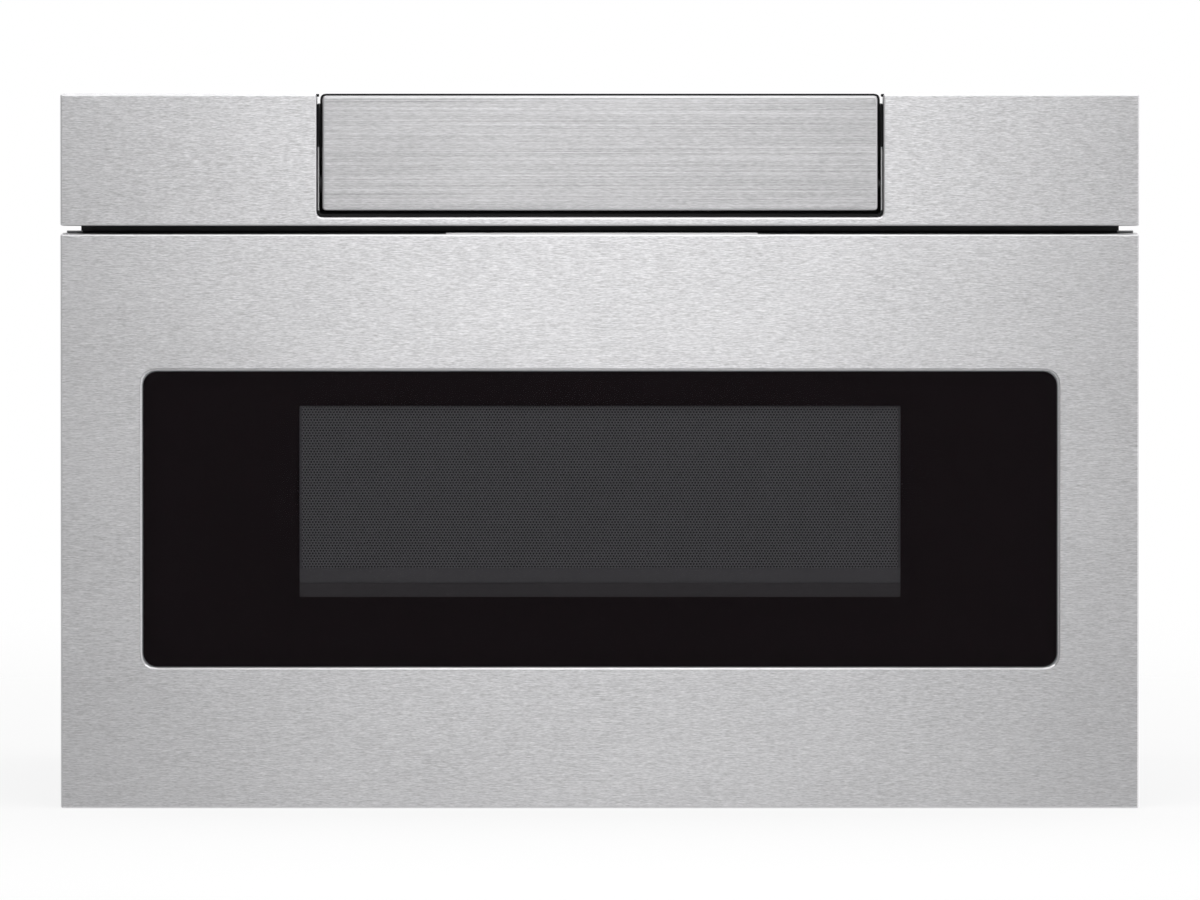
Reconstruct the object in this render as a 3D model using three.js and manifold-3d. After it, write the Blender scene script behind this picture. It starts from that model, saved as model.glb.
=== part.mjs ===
// A built-in microwave drawer, in millimetres, +Z up. The front looks along -Y.
// The origin is on the cabinet floor, at mid width, in the plane of the cabinet's face.
import * as THREE from "three";
import { mergeVertices } from "three/addons/utils/BufferGeometryUtils.js";
import Module from "manifold-3d";

const wasm = await Module();
wasm.setup();

// ---------------------------------------------------------------- driving dimensions

const seat = 0.3; // gap between pieces that are screwed, glued or laid against each other
const slideGap = 0.5; // running gap between telescoping members

// Front, as it shows
const frontWidth = 606.4;
const frontHeight = 401.6;
const frontProud = 38; // front face ahead of the cabinet's face
const frontDrop = 10; // front below the cabinet floor
const frontCornerRadius = 1.5;
const frontEdgeBevel = 1.2;
const skinSheet = 1;
const bandHeight = 74.1;
const panelGap = 4.5; // between drawer front and band

// Flap over the control panel, and the notch that it fills
const notchWidth = 318;
const notchDepth = 69.1;
const notchCornerRadius = 3.2;
const flapSideGap = 3;
const flapBottomGap = 3.6;
const flapCornerRadius = 2.4;
const flapTopDrop = 1.1; // flap skin below the band's top
const flapSkinDepth = 11;
const flapRimSheet = 2; // rim of the frame, which shows round the top of the skin
const flapRimHeight = 38;
const flapRimRadius = 3.5;
const flapRimGap = 0.4; // to the recess walls
const flapFrameDepth = 13;
const flapFrameWall = 2;
const flapBossReach = 8; // solid ends of the frame, past the damper
const flapPivotBehindFace = 7;
const flapPivotAboveEdge = 14.9;
const flapPinRadius = 2.4;
const damperRadius = 5;
const damperLength = 11;
const damperPinReach = 6;
const keypadWidth = 296;
const keypadHeight = 50;
const keypadThickness = 2;
const keypadEdgeMargin = 5.3; // below the keypad, on the flap's inner face
const recessWall = 1;
const recessFloor = 1.2;
const recessTopDrop = 5.8; // recess walls below the front's top
const recessFrontSetback = 4;
const latchWidth = 20;
const latchHeight = 5.6;
const latchDepth = 10;
const latchNoseRadius = 1.8;
const latchAboveKeypad = 2;

// Mounting flange
const flangeWidth = 584.8;
const flangeSheet = 1.2;
const flangeTopDrop = 6.1; // below the front's top
const flangeScrewRadius = 2.5;
const flangeScrewEdge = 7.5;
const flangeScrewHeights = [40, 190, 345];

// Outer case
const caseWidth = 552;
const caseHeight = 372;
const caseDepth = 553.4;
const caseSheet = 0.8;
const caseFloorGap = 2;
const baseSheet = 1;
const baseSideHeight = 60;
const baseRearHeight = 20;
const ventSlotLength = 70;
const ventSlotWidth = 4;
const ventSlotPitch = 9;
const sideVentCount = 8;

// Cavity
const cavityWidth = 462;
const cavityHeight = 206.3;
const cavityDepth = 440;
const cavityFloorTop = 77;
const cavitySheet = 0.8;

// Drawer tub
const tubInnerWidth = 439.7;
const tubInnerHeight = 181;
const tubInnerDepth = 420;
const tubSheet = 0.8;
const tubRimWidth = 4;
const tubFloorGap = 5; // between cavity floor and tub floor
const trayThickness = 5;
const trayEdgeGap = 1.5;
const drawerTravel = 381;

// Door
const glassWidth = 514;
const glassHeight = 166.4;
const glassBottom = 69.4;
const glassCornerRadius = 8;
const glassThickness = 4;
const glassSetback = 0.4;
const glassGap = 0.4;
const glassRimFlare = 1.2;
const windowWidth = 344;
const windowHeight = 113;
const windowBottom = 106;
const screenSheet = 0.8;
const innerGlassThickness = 3;
const doorSheet = 0.8;
const accessInset = 20; // access holes in the choke frame, in from the walls beside them
const returnDepth = 32; // drawer front's folded edges
const returnLip = 12; // turned in behind them, at the sides and the bottom
const backPlateSheet = 1;
const backPlateInset = 3; // in from the drawer front's sides
const backPlateTopLip = 1.2; // lip above the drawer front
const lipLength = 6.5;
const lipSheet = 0.8;
const chokeReach = 28; // choke past the cavity opening, above and below
const chokeSideReach = 31; // and at each side
const chokeLand = 9; // inner panel past the cavity opening
const chokeLip = 10;
const chokeCoverThickness = 1.5;
const chokeCoverOverlap = 4;

// Slides and carriage
const slideBottom = 10;
const slideHeight = 36;
const slideSheet = 1.2;
const slideDepth = 11; // outer member, over its web
const slideEngagement = 49; // inner member left inside when the drawer is out
const slideLengthStep = 10; // each member is this much longer than the one inside it
const middleSlideSetback = 4;
const innerSlideProud = 2.5; // ahead of the cabinet's face
const armSheet = 1.2;
const armHeight = 28;
const armBottom = 14;
const armFootWidth = 17;
const crossbarWidth = 30;
const crossbarSheet = 4;
const crossbarEndSheet = 1.5;

// Rack and pinion
const gearModule = 1.5;
const pressureAngle = THREE.MathUtils.degToRad(20);
const pinionTeeth = 18;
const pinionWidth = 14;
const pinionShaftRadius = 4;
const pinionShaftLength = 12;
const toothBacklash = 0.3;
const rackOffset = 150; // rack's middle, right of the drawer's middle
const rackWidth = 12;
const rackBarHeight = 8;
const rackTop = 48;
const rackFootWidth = 24;
const rackFootHeight = 26;
const rackFootSheet = 1.2;
const rackSlotGap = 2; // round the rack, in the mounting flange
const rackSlotRoom = 11; // beside it, on the side away from the motor
const pinionBehindFlange = 20;

// Drive motor
const gearboxWidth = 30;
const gearboxDepth = 56;
const gearboxHeight = 44;
const gearboxFlangeGap = 3;
const motorRadius = 18;
const motorLength = 54;

// Latch hooks and interlock switches
const hookThickness = 4;
const hookFromCentre = 268;
const hookLength = 26;
const hookHeight = 8;
const hookBarb = 4;
const hookMiddleZ = 198;
const hookFootHeight = 20;
const hookFootSheet = 1.5;
const hookSlotGap = 2;
const switchWidth = 22;
const switchDepth = 50;
const switchHeight = 40;
const switchGap = 2; // from the hooks
const switchGrooveStart = 10;
const switchGrooveWidth = 1.6;

// Microwave feed
const feedWidth = 194;
const feedLength = 194;
const feedHeight = 36;
const feedFront = 120;
const feedSheet = 0.8;
const feedApertureWidth = 180;
const guideWidth = 88;
const guideFromCentre = 64;
const guideEndGap = 6; // to the case's rear panel
const antennaRadius = 8;
const antennaHeight = 22;
const stirrerCoverSize = 200;
const stirrerCoverThickness = 1.5;
const stirrerRadius = 75;
const stirrerVanes = 4;
const stirrerVaneWidth = 34;
const stirrerVaneSheet = 1;
const stirrerVaneTilt = THREE.MathUtils.degToRad(18);
const stirrerShaftRadius = 3;
const stirrerHubRadius = 9;
const stirrerHeight = 14; // vanes above the cavity ceiling
const stirrerMotorRadius = 25;
const stirrerMotorHeight = 22;
const stirrerSocketDepth = 6;
const stirrerEarReach = 8;
const stirrerEarWidth = 12;
const stirrerEarSheet = 1.5;

// Magnetron and its supply
const magnetronWidth = 92;
const magnetronDepth = 80;
const magnetronHeight = 62;
const magnetronFins = 6;
const magnetronFinSheet = 1.5;
const magnetronCoreRadius = 20;
const magnetronYokeSheet = 3;
const filterBoxHeight = 26;
const filterBoxWidth = 60;
const transformerWidth = 96;
const transformerDepth = 62;
const transformerHeight = 82;
const transformerCoilProud = 14;
const transformerFromCentre = -115;
const rearBayGap = 12; // cavity's rear wall to what stands behind it
const capacitorWidth = 54;
const capacitorDepth = 33;
const capacitorHeight = 95;
const capacitorFromCentre = -18;
const terminalHeight = 6;
const terminalWidth = 5;
const diodeRadius = 3.5;
const diodeLength = 22;

// Cooling fan
const fanSize = 120;
const fanDepth = 38;
const fanFromCentre = 200;
const fanMiddleZ = 215;
const fanBoreRadius = 56;
const fanBladeRadius = 53;
const fanBlades = 7;
const fanBladeWidth = 22;
const fanBladeSheet = 1.6;
const fanBladePitch = THREE.MathUtils.degToRad(38);
const fanHubRadius = 23;
const fanHubLength = 15;
const fanStruts = 4;
const fanStrutWidth = 6;
const fanSpiderSheet = 3.5;
const fanMotorLength = 15;
const fanShaftRadius = 2.5;
const fanShaftLength = 12;
const grilleSlots = 11;

// Electrics
const boardSheet = 1.6;
const boardStandoff = 6;
const boardPostSize = 6;
const boardPostInset = 6; // from the board's edges to the middle of a post
const controlBoardWidth = 114;
const controlBoardDepth = 90;
const controlBoardFromCentre = -166;
const controlBoardFront = 20;
const filterBoardWidth = 60;
const filterBoardDepth = 80;
const filterBoardFromCentre = -225;
const lampWidth = 34;
const lampHeight = 32;
const lampReach = 28;
const lampMiddleY = 220;
const lampMiddleZ = 240;
const lampFlangeReach = 8;
const lampFlangeSheet = 1.5;
const lampHoodInset = 3;
const cutoutRadius = 9;
const cutoutReach = 12;
const cutoutFromCentre = -60;
const cutoutZ = 230;
const cutoutEarReach = 8;
const cutoutEarHeight = 14;
const cutoutEarSheet = 1;
const glandFromCentre = -225;
const glandZ = 110;
const glandRadius = 9;
const glandFlangeRadius = 13;
const glandFlange = 2;
const glandLength = 14;
const glandBoreRadius = 5;

// ---------------------------------------------------------------- places worked out from them

const frontY = -frontProud;
const frontBottom = -frontDrop;
const frontTop = frontBottom + frontHeight;
const bandBottom = frontTop - bandHeight;
const drawerTop = bandBottom - panelGap;

const flangeFront = -flangeSheet;
const flangeTop = frontTop - flangeTopDrop;
const flangeBottom = baseSheet + seat;

const caseSide = caseWidth / 2;
const caseRear = caseDepth;
const rearPanelFront = caseRear - caseSheet;
const baseSide = caseSide - caseSheet - seat;
const baseRear = rearPanelFront - seat;

const openingX = about(cavityWidth / 2);
const openingZ = [cavityFloorTop, cavityFloorTop + cavityHeight];
const ceilingTop = openingZ[1] + seat + cavitySheet;
const cavityRear = seat + cavityDepth;
const rearBayFront = cavityRear + cavitySheet;

const returnBack = frontY + returnDepth;
const backPlateY = [returnBack + seat, returnBack + seat + backPlateSheet];
const footY = backPlateY[1] + seat; // what is screwed to the door's rear starts here

const glassX = about(glassWidth / 2);
const glassZ = [glassBottom, glassBottom + glassHeight];
const glassY = [frontY + glassSetback, frontY + glassSetback + glassThickness];
const windowX = about(windowWidth / 2);
const windowZ = [windowBottom, windowBottom + windowHeight];
const chokeX = about(cavityWidth / 2 + chokeSideReach);
const chokeZ = grow(openingZ, chokeReach);
const chokeY = [glassY[1] + seat, backPlateY[1] - seat];
const landX = grow(openingX, chokeLand);
const landZ = grow(openingZ, chokeLand);

const tubX = about(tubInnerWidth / 2);
const tubFloorZ = [cavityFloorTop + tubFloorGap, cavityFloorTop + tubFloorGap + tubSheet];
const trayZ = [tubFloorZ[1] + seat, tubFloorZ[1] + seat + trayThickness];
const tubTop = trayZ[1] + tubInnerHeight;
const tubFront = chokeY[1] + seat;
const tubRear = tubFront + tubInnerDepth;

const slideZ = [slideBottom, slideBottom + slideHeight];
const innerSlideLength = drawerTravel + slideEngagement;
const middleSlideLength = innerSlideLength + slideLengthStep;
const outerSlideLength = middleSlideLength + slideLengthStep;
const outerWeb = baseSide - baseSheet - seat; // outer face of the outer member's web
const slideMouth = outerWeb - slideDepth; // free edges of the outer member's flanges
const middleWeb = outerWeb - slideSheet - slideGap;
const middleMouth = slideMouth - slideGap;
const innerTip = middleWeb - slideSheet - slideGap;
const innerWeb = middleMouth - slideGap - 2 * slideSheet;
const armFace = innerWeb - seat; // outer face of the carriage arm

const rackRoot = rackTop - rackBarHeight;
const rackPitchZ = rackRoot - 1.25 * gearModule;
const pinionRadius = (gearModule * pinionTeeth) / 2;
const pinionZ = rackPitchZ - pinionRadius;
const rackX = about(rackWidth / 2, rackOffset);
const carriageRear = innerSlideLength - innerSlideProud;
const gearboxX = [rackX[1] + gearboxFlangeGap + 1, rackX[1] + gearboxFlangeGap + 1 + gearboxWidth];

const flapX = about(notchWidth / 2 - flapSideGap);
const notchBottom = frontTop - notchDepth;
const flapZ = [notchBottom + flapBottomGap, frontTop - flapTopDrop];
const flapPivotY = frontY + flapPivotBehindFace;
const flapPivotZ = flapZ[0] + flapPivotAboveEdge;
const flapFrameBack = frontY + flapFrameDepth;
const recessX = about(notchWidth / 2 - seat);
const recessBack = flangeFront - seat;
const recessTop = frontTop - recessTopDrop;
const keypadZ = [
  flapZ[0] + keypadEdgeMargin,
  flapZ[0] + keypadEdgeMargin + keypadHeight,
];
const latchZ = [keypadZ[1] + latchAboveKeypad, keypadZ[1] + latchAboveKeypad + latchHeight];

const feedMiddleY = feedFront + feedLength / 2;
const feedBottom = ceilingTop + seat;
const feedTop = feedBottom + feedHeight;
const guideRear = rearPanelFront - guideEndGap;
const magnetronMiddleY = guideRear - magnetronDepth / 2 - feedSheet;

const fanY = [rearPanelFront - seat - fanDepth, rearPanelFront - seat];

// ---------------------------------------------------------------- solids

function about(half, centre = 0) {
  return [centre - half, centre + half];
}

function grow([low, high], by) {
  return [low - by, high + by];
}

// The stretch from a to b on one side of the middle: side is -1 on the left and 1 on the right.
function onSide(side, a, b) {
  return side > 0 ? [a, b] : [-b, -a];
}

function span([low, high]) {
  return high - low;
}

function middle([low, high]) {
  return (low + high) / 2;
}

function toSolid(geometry) {
  const flat = geometry.index ? geometry.toNonIndexed() : geometry;
  const bare = new THREE.BufferGeometry();
  bare.setAttribute("position", flat.getAttribute("position"));
  const merged = mergeVertices(bare, 1e-4);
  return new wasm.Manifold(
    new wasm.Mesh({
      numProp: 3,
      vertProperties: merged.getAttribute("position").array,
      triVerts: new Uint32Array(merged.index.array),
    }),
  );
}

function join(...solids) {
  return solids.reduce((whole, piece) => whole.add(piece));
}

function block(x, y, z) {
  const geometry = new THREE.BoxGeometry(span(x), span(y), span(z));
  geometry.translate(middle(x), middle(y), middle(z));
  return toSolid(geometry);
}

function rod(radius, length, sides = 24) {
  return new THREE.CylinderGeometry(radius, radius, length, sides);
}

function rodX(radius, x, [y, z], sides) {
  return toSolid(rod(radius, span(x), sides).rotateZ(Math.PI / 2).translate(middle(x), y, z));
}

function rodY(radius, y, [x, z], sides) {
  return toSolid(rod(radius, span(y), sides).translate(x, middle(y), z));
}

function rodZ(radius, z, [x, y], sides) {
  return toSolid(rod(radius, span(z), sides).rotateX(Math.PI / 2).translate(x, y, middle(z)));
}

// A closed outline whose corners are [across, up, radius].
function outline(corners) {
  const shape = new THREE.Shape();
  corners.forEach(([x, z, radius], i) => {
    const corner = new THREE.Vector2(x, z);
    const toBefore = new THREE.Vector2(...corners.at(i - 1)).sub(corner).setLength(radius);
    const toAfter = new THREE.Vector2(...corners[(i + 1) % corners.length]).sub(corner).setLength(radius);
    const start = corner.clone().add(toBefore);
    const end = corner.clone().add(toAfter);
    if (i === 0) shape.moveTo(start.x, start.y);
    else shape.lineTo(start.x, start.y);
    if (radius > 0) shape.quadraticCurveTo(corner.x, corner.y, end.x, end.y);
  });
  return shape;
}

function roundedBox([left, right], [low, high], radius) {
  return outline([
    [left, low, radius],
    [right, low, radius],
    [right, high, radius],
    [left, high, radius],
  ]);
}

function bevelOf(size, offset) {
  return {
    bevelEnabled: true,
    bevelThickness: size,
    bevelSize: size,
    bevelOffset: offset,
    bevelSegments: 2,
  };
}

// An outline in x and z, run from front to back. A bevel lies outside those two planes.
function prismY(shape, [front, back], bevel = { bevelEnabled: false }) {
  const settings = { depth: back - front, curveSegments: 4, ...bevel };
  const geometry = new THREE.ExtrudeGeometry(shape, settings);
  return toSolid(geometry.rotateX(Math.PI / 2).translate(0, back, 0));
}

// An outline in y and z, run along x.
function prismX(shape, [left, right]) {
  const settings = { depth: right - left, curveSegments: 4, bevelEnabled: false };
  const geometry = new THREE.ExtrudeGeometry(shape, settings);
  const turn = new THREE.Matrix4().makeBasis(
    new THREE.Vector3(0, 1, 0),
    new THREE.Vector3(0, 0, 1),
    new THREE.Vector3(1, 0, 0),
  );
  return toSolid(geometry.applyMatrix4(turn).translate(left, 0, 0));
}

// A prism whose front edges are bevelled and whose back is square.
function facedPrism(shape, [front, back], bevel) {
  const beyond = about(frontWidth);
  const prism = prismY(shape, [front + bevel, back], bevelOf(bevel, -bevel));
  return prism.subtract(block(beyond, [back, back + 2 * bevel], beyond));
}

// A rectangular tube along y, its wall inside the given size.
function tube(x, y, z, wall) {
  return block(x, y, z).subtract(block(grow(x, -wall), grow(y, 1), grow(z, -wall)));
}

// A channel along y, its web at webX and its flanges reaching to tipX.
function channel(side, webX, tipX, y, z, sheet) {
  const [near, far] = [Math.min(webX, tipX), Math.max(webX, tipX)];
  const inner = webX > tipX ? [near - 1, far - sheet] : [near + sheet, far + 1];
  const solid = block(onSide(side, near, far), y, z);
  return solid.subtract(block(onSide(side, ...inner), grow(y, 1), grow(z, -sheet)));
}

const root = new THREE.Group();

const finishes = {
  stainless: { color: 0xc9c9cc, roughness: 0.35, metalness: 1 },
  blackGlass: { color: 0x171214, roughness: 0.08, metalness: 0 },
  clearGlass: { color: 0x9fa8a6, roughness: 0.05, metalness: 0 },
  blackSteel: { color: 0x1d1d1f, roughness: 0.5, metalness: 0.2 },
  zincSteel: { color: 0xaeb2b5, roughness: 0.45, metalness: 1 },
  enamel: { color: 0x8d9094, roughness: 0.4, metalness: 0.1 },
  blackPlastic: { color: 0x161617, roughness: 0.55, metalness: 0 },
  whiteCeramic: { color: 0xe4e2dc, roughness: 0.25, metalness: 0 },
  mica: { color: 0xb9ad94, roughness: 0.6, metalness: 0 },
  copper: { color: 0xb06a3c, roughness: 0.4, metalness: 1 },
  circuitBoard: { color: 0x2b5b3a, roughness: 0.6, metalness: 0 },
  whitePlastic: { color: 0xd9d8d2, roughness: 0.5, metalness: 0 },
};

function piece(name, finish, solid) {
  const { vertProperties, triVerts } = solid.getMesh();
  const geometry = new THREE.BufferGeometry();
  geometry.setAttribute("position", new THREE.BufferAttribute(vertProperties, 3));
  geometry.setIndex(new THREE.BufferAttribute(triVerts, 1));
  const flat = geometry.toNonIndexed();
  flat.computeVertexNormals();
  const mesh = new THREE.Mesh(flat, new THREE.MeshStandardMaterial(finishes[finish]));
  mesh.name = name;
  root.add(mesh);
}

const SIDES = [
  ["left", -1],
  ["right", 1],
];

// ---------------------------------------------------------------- drawer front

function glassOutline(margin) {
  return roundedBox(grow(glassX, margin), grow(glassZ, margin), glassCornerRadius + margin);
}

function drawerFrontPanel() {
  const x = about(frontWidth / 2);
  const z = [frontBottom, drawerTop];
  const face = roundedBox(x, z, frontCornerRadius);
  const lip = skinSheet + returnLip;
  const pan = facedPrism(face, [frontY, returnBack], frontEdgeBevel)
    .subtract(block(grow(x, -skinSheet), [frontY + skinSheet, returnBack - skinSheet], grow(z, -skinSheet)))
    .subtract(block(grow(x, -lip), [frontY + skinSheet, returnBack + 1], [z[0] + lip, z[1] - skinSheet]));
  const rim = prismY(glassOutline(glassGap + skinSheet + glassRimFlare), [frontY + skinSheet / 2, glassY[1]]);
  const hole = prismY(glassOutline(glassGap), [frontY - 1, glassY[1] + 1]);
  const flare = prismY(glassOutline(glassGap), [frontY - 1, frontY], bevelOf(glassRimFlare, 0));
  return pan.add(rim).subtract(hole).subtract(flare);
}

function doorGlass() {
  return prismY(glassOutline(0), glassY);
}

function doorChokeFrame() {
  const plateY = [chokeY[0], chokeY[0] + doorSheet];
  const rearY = [chokeY[1] - doorSheet, chokeY[1]];
  const plates = join(
    block(chokeX, plateY, chokeZ),
    tube(chokeX, chokeY, chokeZ, doorSheet),
    tube(chokeX, rearY, chokeZ, chokeLip),
    block(landX, rearY, landZ),
    tube(landX, chokeY, landZ, doorSheet),
    tube(grow(windowX, doorSheet), chokeY, grow(windowZ, doorSheet), doorSheet),
  );
  const through = grow(chokeY, 1);
  const accessHoles = SIDES.map(([, side]) =>
    block(onSide(side, windowX[1] + accessInset, landX[1] - accessInset), grow(plateY, 1), windowZ),
  );
  return plates.subtract(block(windowX, through, windowZ)).subtract(join(...accessHoles));
}

function chokeCover() {
  const y = [chokeY[1] + seat, chokeY[1] + seat + chokeCoverThickness];
  const width = chokeX[1] - landX[1] - chokeLip + 2 * chokeCoverOverlap;
  const reach = chokeCoverOverlap - chokeLip;
  return tube(grow(chokeX, reach), y, grow(chokeZ, reach), width);
}

function windowScreen() {
  const front = chokeY[0] + doorSheet + seat;
  return block(grow(windowX, -seat), [front, front + screenSheet], grow(windowZ, -seat));
}

function innerWindowGlass() {
  const y = [chokeY[1] - innerGlassThickness, chokeY[1]];
  return block(grow(windowX, -seat), y, grow(windowZ, -seat));
}

function doorBackPlate() {
  const x = about(frontWidth / 2 - backPlateInset);
  const z = [frontBottom + backPlateInset, drawerTop + backPlateTopLip];
  const plate = block(x, backPlateY, z).subtract(
    block(grow(chokeX, seat), grow(backPlateY, 1), grow(chokeZ, seat)),
  );
  const lip = block(x, [backPlateY[0] - lipLength, backPlateY[1]], [z[1] - lipSheet, z[1]]);
  return plate.add(lip);
}

function latchHook(side) {
  const x = onSide(side, hookFromCentre - hookThickness / 2, hookFromCentre + hookThickness / 2);
  const foot = block(x, [footY, footY + hookFootSheet], about(hookFootHeight / 2, hookMiddleZ));
  const low = hookMiddleZ - hookHeight / 2;
  const tip = footY + hookLength;
  const arm = outline([
    [footY, low, 0],
    [tip - 2 * hookBarb, low, 0],
    [tip - 2 * hookBarb, low - hookBarb, 0],
    [tip, low, 1],
    [tip, low + hookHeight, 1],
    [footY, low + hookHeight, 0],
  ]);
  return foot.add(prismX(arm, x));
}

piece("drawer_front_panel", "stainless", drawerFrontPanel());
piece("door_glass", "blackGlass", doorGlass());
piece("door_choke_frame", "zincSteel", doorChokeFrame());
piece("choke_cover", "blackPlastic", chokeCover());
piece("window_screen", "blackSteel", windowScreen());
piece("inner_window_glass", "clearGlass", innerWindowGlass());
piece("door_back_plate", "blackSteel", doorBackPlate());
for (const [place, side] of SIDES) piece(`latch_hook_${place}`, "whitePlastic", latchHook(side));

// ---------------------------------------------------------------- drawer tub

function tubSideWall(side) {
  const y = [tubFront, tubRear + tubSheet];
  const wall = block(onSide(side, tubX[1], tubX[1] + tubSheet), y, [tubFloorZ[0], tubTop]);
  const rim = block(onSide(side, tubX[1], tubX[1] + tubRimWidth), y, [tubTop - tubSheet, tubTop]);
  return wall.add(rim);
}

function tubRearWall() {
  const x = grow(tubX, -seat);
  const wall = block(x, [tubRear, tubRear + tubSheet], [tubFloorZ[0], tubTop]);
  const rim = block(x, [tubRear, tubRear + tubRimWidth], [tubTop - tubSheet, tubTop]);
  return wall.add(rim);
}

function tubFloorPan() {
  return block(grow(tubX, -seat), [tubFront, tubRear - seat], tubFloorZ);
}

function ceramicTray() {
  const x = grow(tubX, -trayEdgeGap);
  const y = [tubFront + trayEdgeGap, tubRear - trayEdgeGap];
  return block(x, y, trayZ);
}

for (const [place, side] of SIDES) piece(`drawer_${place}_wall`, "enamel", tubSideWall(side));
piece("drawer_rear_wall", "enamel", tubRearWall());
piece("drawer_floor_pan", "enamel", tubFloorPan());
piece("ceramic_tray", "whiteCeramic", ceramicTray());

// ---------------------------------------------------------------- slides and carriage

function outerSlide(side) {
  return channel(side, outerWeb, slideMouth, [seat, seat + outerSlideLength], slideZ, slideSheet);
}

function middleSlide(side) {
  const y = [middleSlideSetback, middleSlideSetback + middleSlideLength];
  return channel(side, middleWeb, middleMouth, y, grow(slideZ, -slideSheet - slideGap), slideSheet);
}

function innerSlide(side) {
  const y = [-innerSlideProud, innerSlideLength - innerSlideProud];
  return channel(side, innerWeb, innerTip, y, grow(slideZ, -2 * (slideSheet + slideGap)), slideSheet);
}

// Two arms that run back from the door and a bar that ties their rear ends, welded into one frame.
function carriageFrame() {
  const armZ = [armBottom, armBottom + armHeight];
  const barY = [carriageRear - crossbarWidth, carriageRear];
  const barZ = [rackTop + seat, rackTop + seat + crossbarSheet];
  const armInside = armFace - armSheet;
  const weld = armFace - armSheet / 2;
  const arms = SIDES.flatMap(([, side]) => [
    block(onSide(side, armInside, armFace), [footY, carriageRear], armZ),
    block(onSide(side, armFace - armFootWidth, armFace), [footY, footY + armSheet], armZ),
    block(onSide(side, armInside - crossbarEndSheet, weld), barY, [armBottom, barZ[1]]),
  ]);
  return join(block(about(weld), barY, barZ), ...arms);
}

for (const [place, side] of SIDES) {
  piece(`outer_slide_${place}`, "zincSteel", outerSlide(side));
  piece(`middle_slide_${place}`, "zincSteel", middleSlide(side));
  piece(`inner_slide_${place}`, "zincSteel", innerSlide(side));
}
piece("carriage_frame", "zincSteel", carriageFrame());

// ---------------------------------------------------------------- rack and pinion drive

function driveRack() {
  const pitch = Math.PI * gearModule;
  const slope = Math.tan(pressureAngle);
  const tipHalf = pitch / 4 - gearModule * slope;
  const rootHalf = pitch / 4 + 1.25 * gearModule * slope;
  const tipZ = rackPitchZ - gearModule;
  const corners = [[footY, rackRoot, 0]];
  const first = Math.ceil((footY + rackFootSheet + rootHalf - pinionBehindFlange) / pitch - 0.5);
  for (let k = first; ; k++) {
    const y = pinionBehindFlange + (k + 0.5) * pitch;
    if (y + rootHalf > carriageRear) break;
    corners.push([y - rootHalf, rackRoot, 0], [y - tipHalf, tipZ, 0]);
    corners.push([y + tipHalf, tipZ, 0], [y + rootHalf, rackRoot, 0]);
  }
  corners.push([carriageRear, rackRoot, 0], [carriageRear, rackTop, 0], [footY, rackTop, 0]);
  const bar = prismX(outline(corners), rackX);
  const footX = about(rackFootWidth / 2, rackOffset);
  const foot = block(footX, [footY, footY + rackFootSheet], [rackTop - rackFootHeight, rackTop]);
  return bar.add(foot);
}

// Half the angle that a tooth takes up at a radius, on involute flanks.
function toothHalfAngle(radius) {
  const involute = (angle) => Math.tan(angle) - angle;
  const baseRadius = pinionRadius * Math.cos(pressureAngle);
  const atPitch = Math.PI / (2 * pinionTeeth) - toothBacklash / (2 * pinionRadius);
  return atPitch + involute(pressureAngle) - involute(Math.acos(Math.min(1, baseRadius / radius)));
}

function pinionOutline() {
  const baseRadius = pinionRadius * Math.cos(pressureAngle);
  const rootRadius = pinionRadius - 1.25 * gearModule;
  const tipRadius = pinionRadius + gearModule - 0.1 * gearModule;
  const radii = [baseRadius, pinionRadius, tipRadius];
  const flank = radii.map((radius) => [radius, toothHalfAngle(radius)]);
  flank.unshift([rootRadius, toothHalfAngle(baseRadius)]);
  const tooth = [
    ...flank.map(([radius, angle]) => [radius, -angle]),
    ...flank.reverse().map(([radius, angle]) => [radius, angle]),
  ];
  const corners = [];
  for (let i = 0; i < pinionTeeth; i++) {
    const turn = Math.PI / 2 + (i * 2 * Math.PI) / pinionTeeth;
    for (const [radius, angle] of tooth) {
      const direction = turn + angle;
      const y = pinionBehindFlange + radius * Math.cos(direction);
      corners.push([y, pinionZ + radius * Math.sin(direction), 0]);
    }
  }
  return outline(corners);
}

function drivePinion() {
  const x = about(pinionWidth / 2, rackOffset);
  const shaft = [x[1] - 1, x[1] + pinionShaftLength];
  const centre = [pinionBehindFlange, pinionZ];
  return prismX(pinionOutline(), x).add(rodX(pinionShaftRadius, shaft, centre));
}

function driveMotor() {
  const z = [baseSheet + seat, baseSheet + seat + gearboxHeight];
  const gearbox = block(gearboxX, [gearboxFlangeGap, gearboxFlangeGap + gearboxDepth], z);
  const motorY = gearboxFlangeGap + gearboxDepth / 2;
  const motorX = [gearboxX[1] - 1, gearboxX[1] + motorLength];
  const motor = rodX(motorRadius, motorX, [motorY, middle(z)]);
  const socket = rodX(
    pinionShaftRadius + seat,
    [gearboxX[0] - 1, gearboxX[0] + pinionShaftLength],
    [pinionBehindFlange, pinionZ],
  );
  return gearbox.add(motor).subtract(socket);
}

piece("drive_rack", "zincSteel", driveRack());
piece("drive_pinion", "zincSteel", drivePinion());
piece("drive_motor", "zincSteel", driveMotor());

// ---------------------------------------------------------------- top band, recess and flap

function bandOutline(inset, radius, notchRadius) {
  const side = frontWidth / 2 - inset;
  const notchSide = notchWidth / 2 + inset;
  return outline([
    [-side, bandBottom + inset, radius],
    [side, bandBottom + inset, radius],
    [side, frontTop - inset, radius],
    [notchSide, frontTop - inset, radius],
    [notchSide, notchBottom - inset, notchRadius],
    [-notchSide, notchBottom - inset, notchRadius],
    [-notchSide, frontTop - inset, radius],
    [-side, frontTop - inset, radius],
  ]);
}

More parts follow.
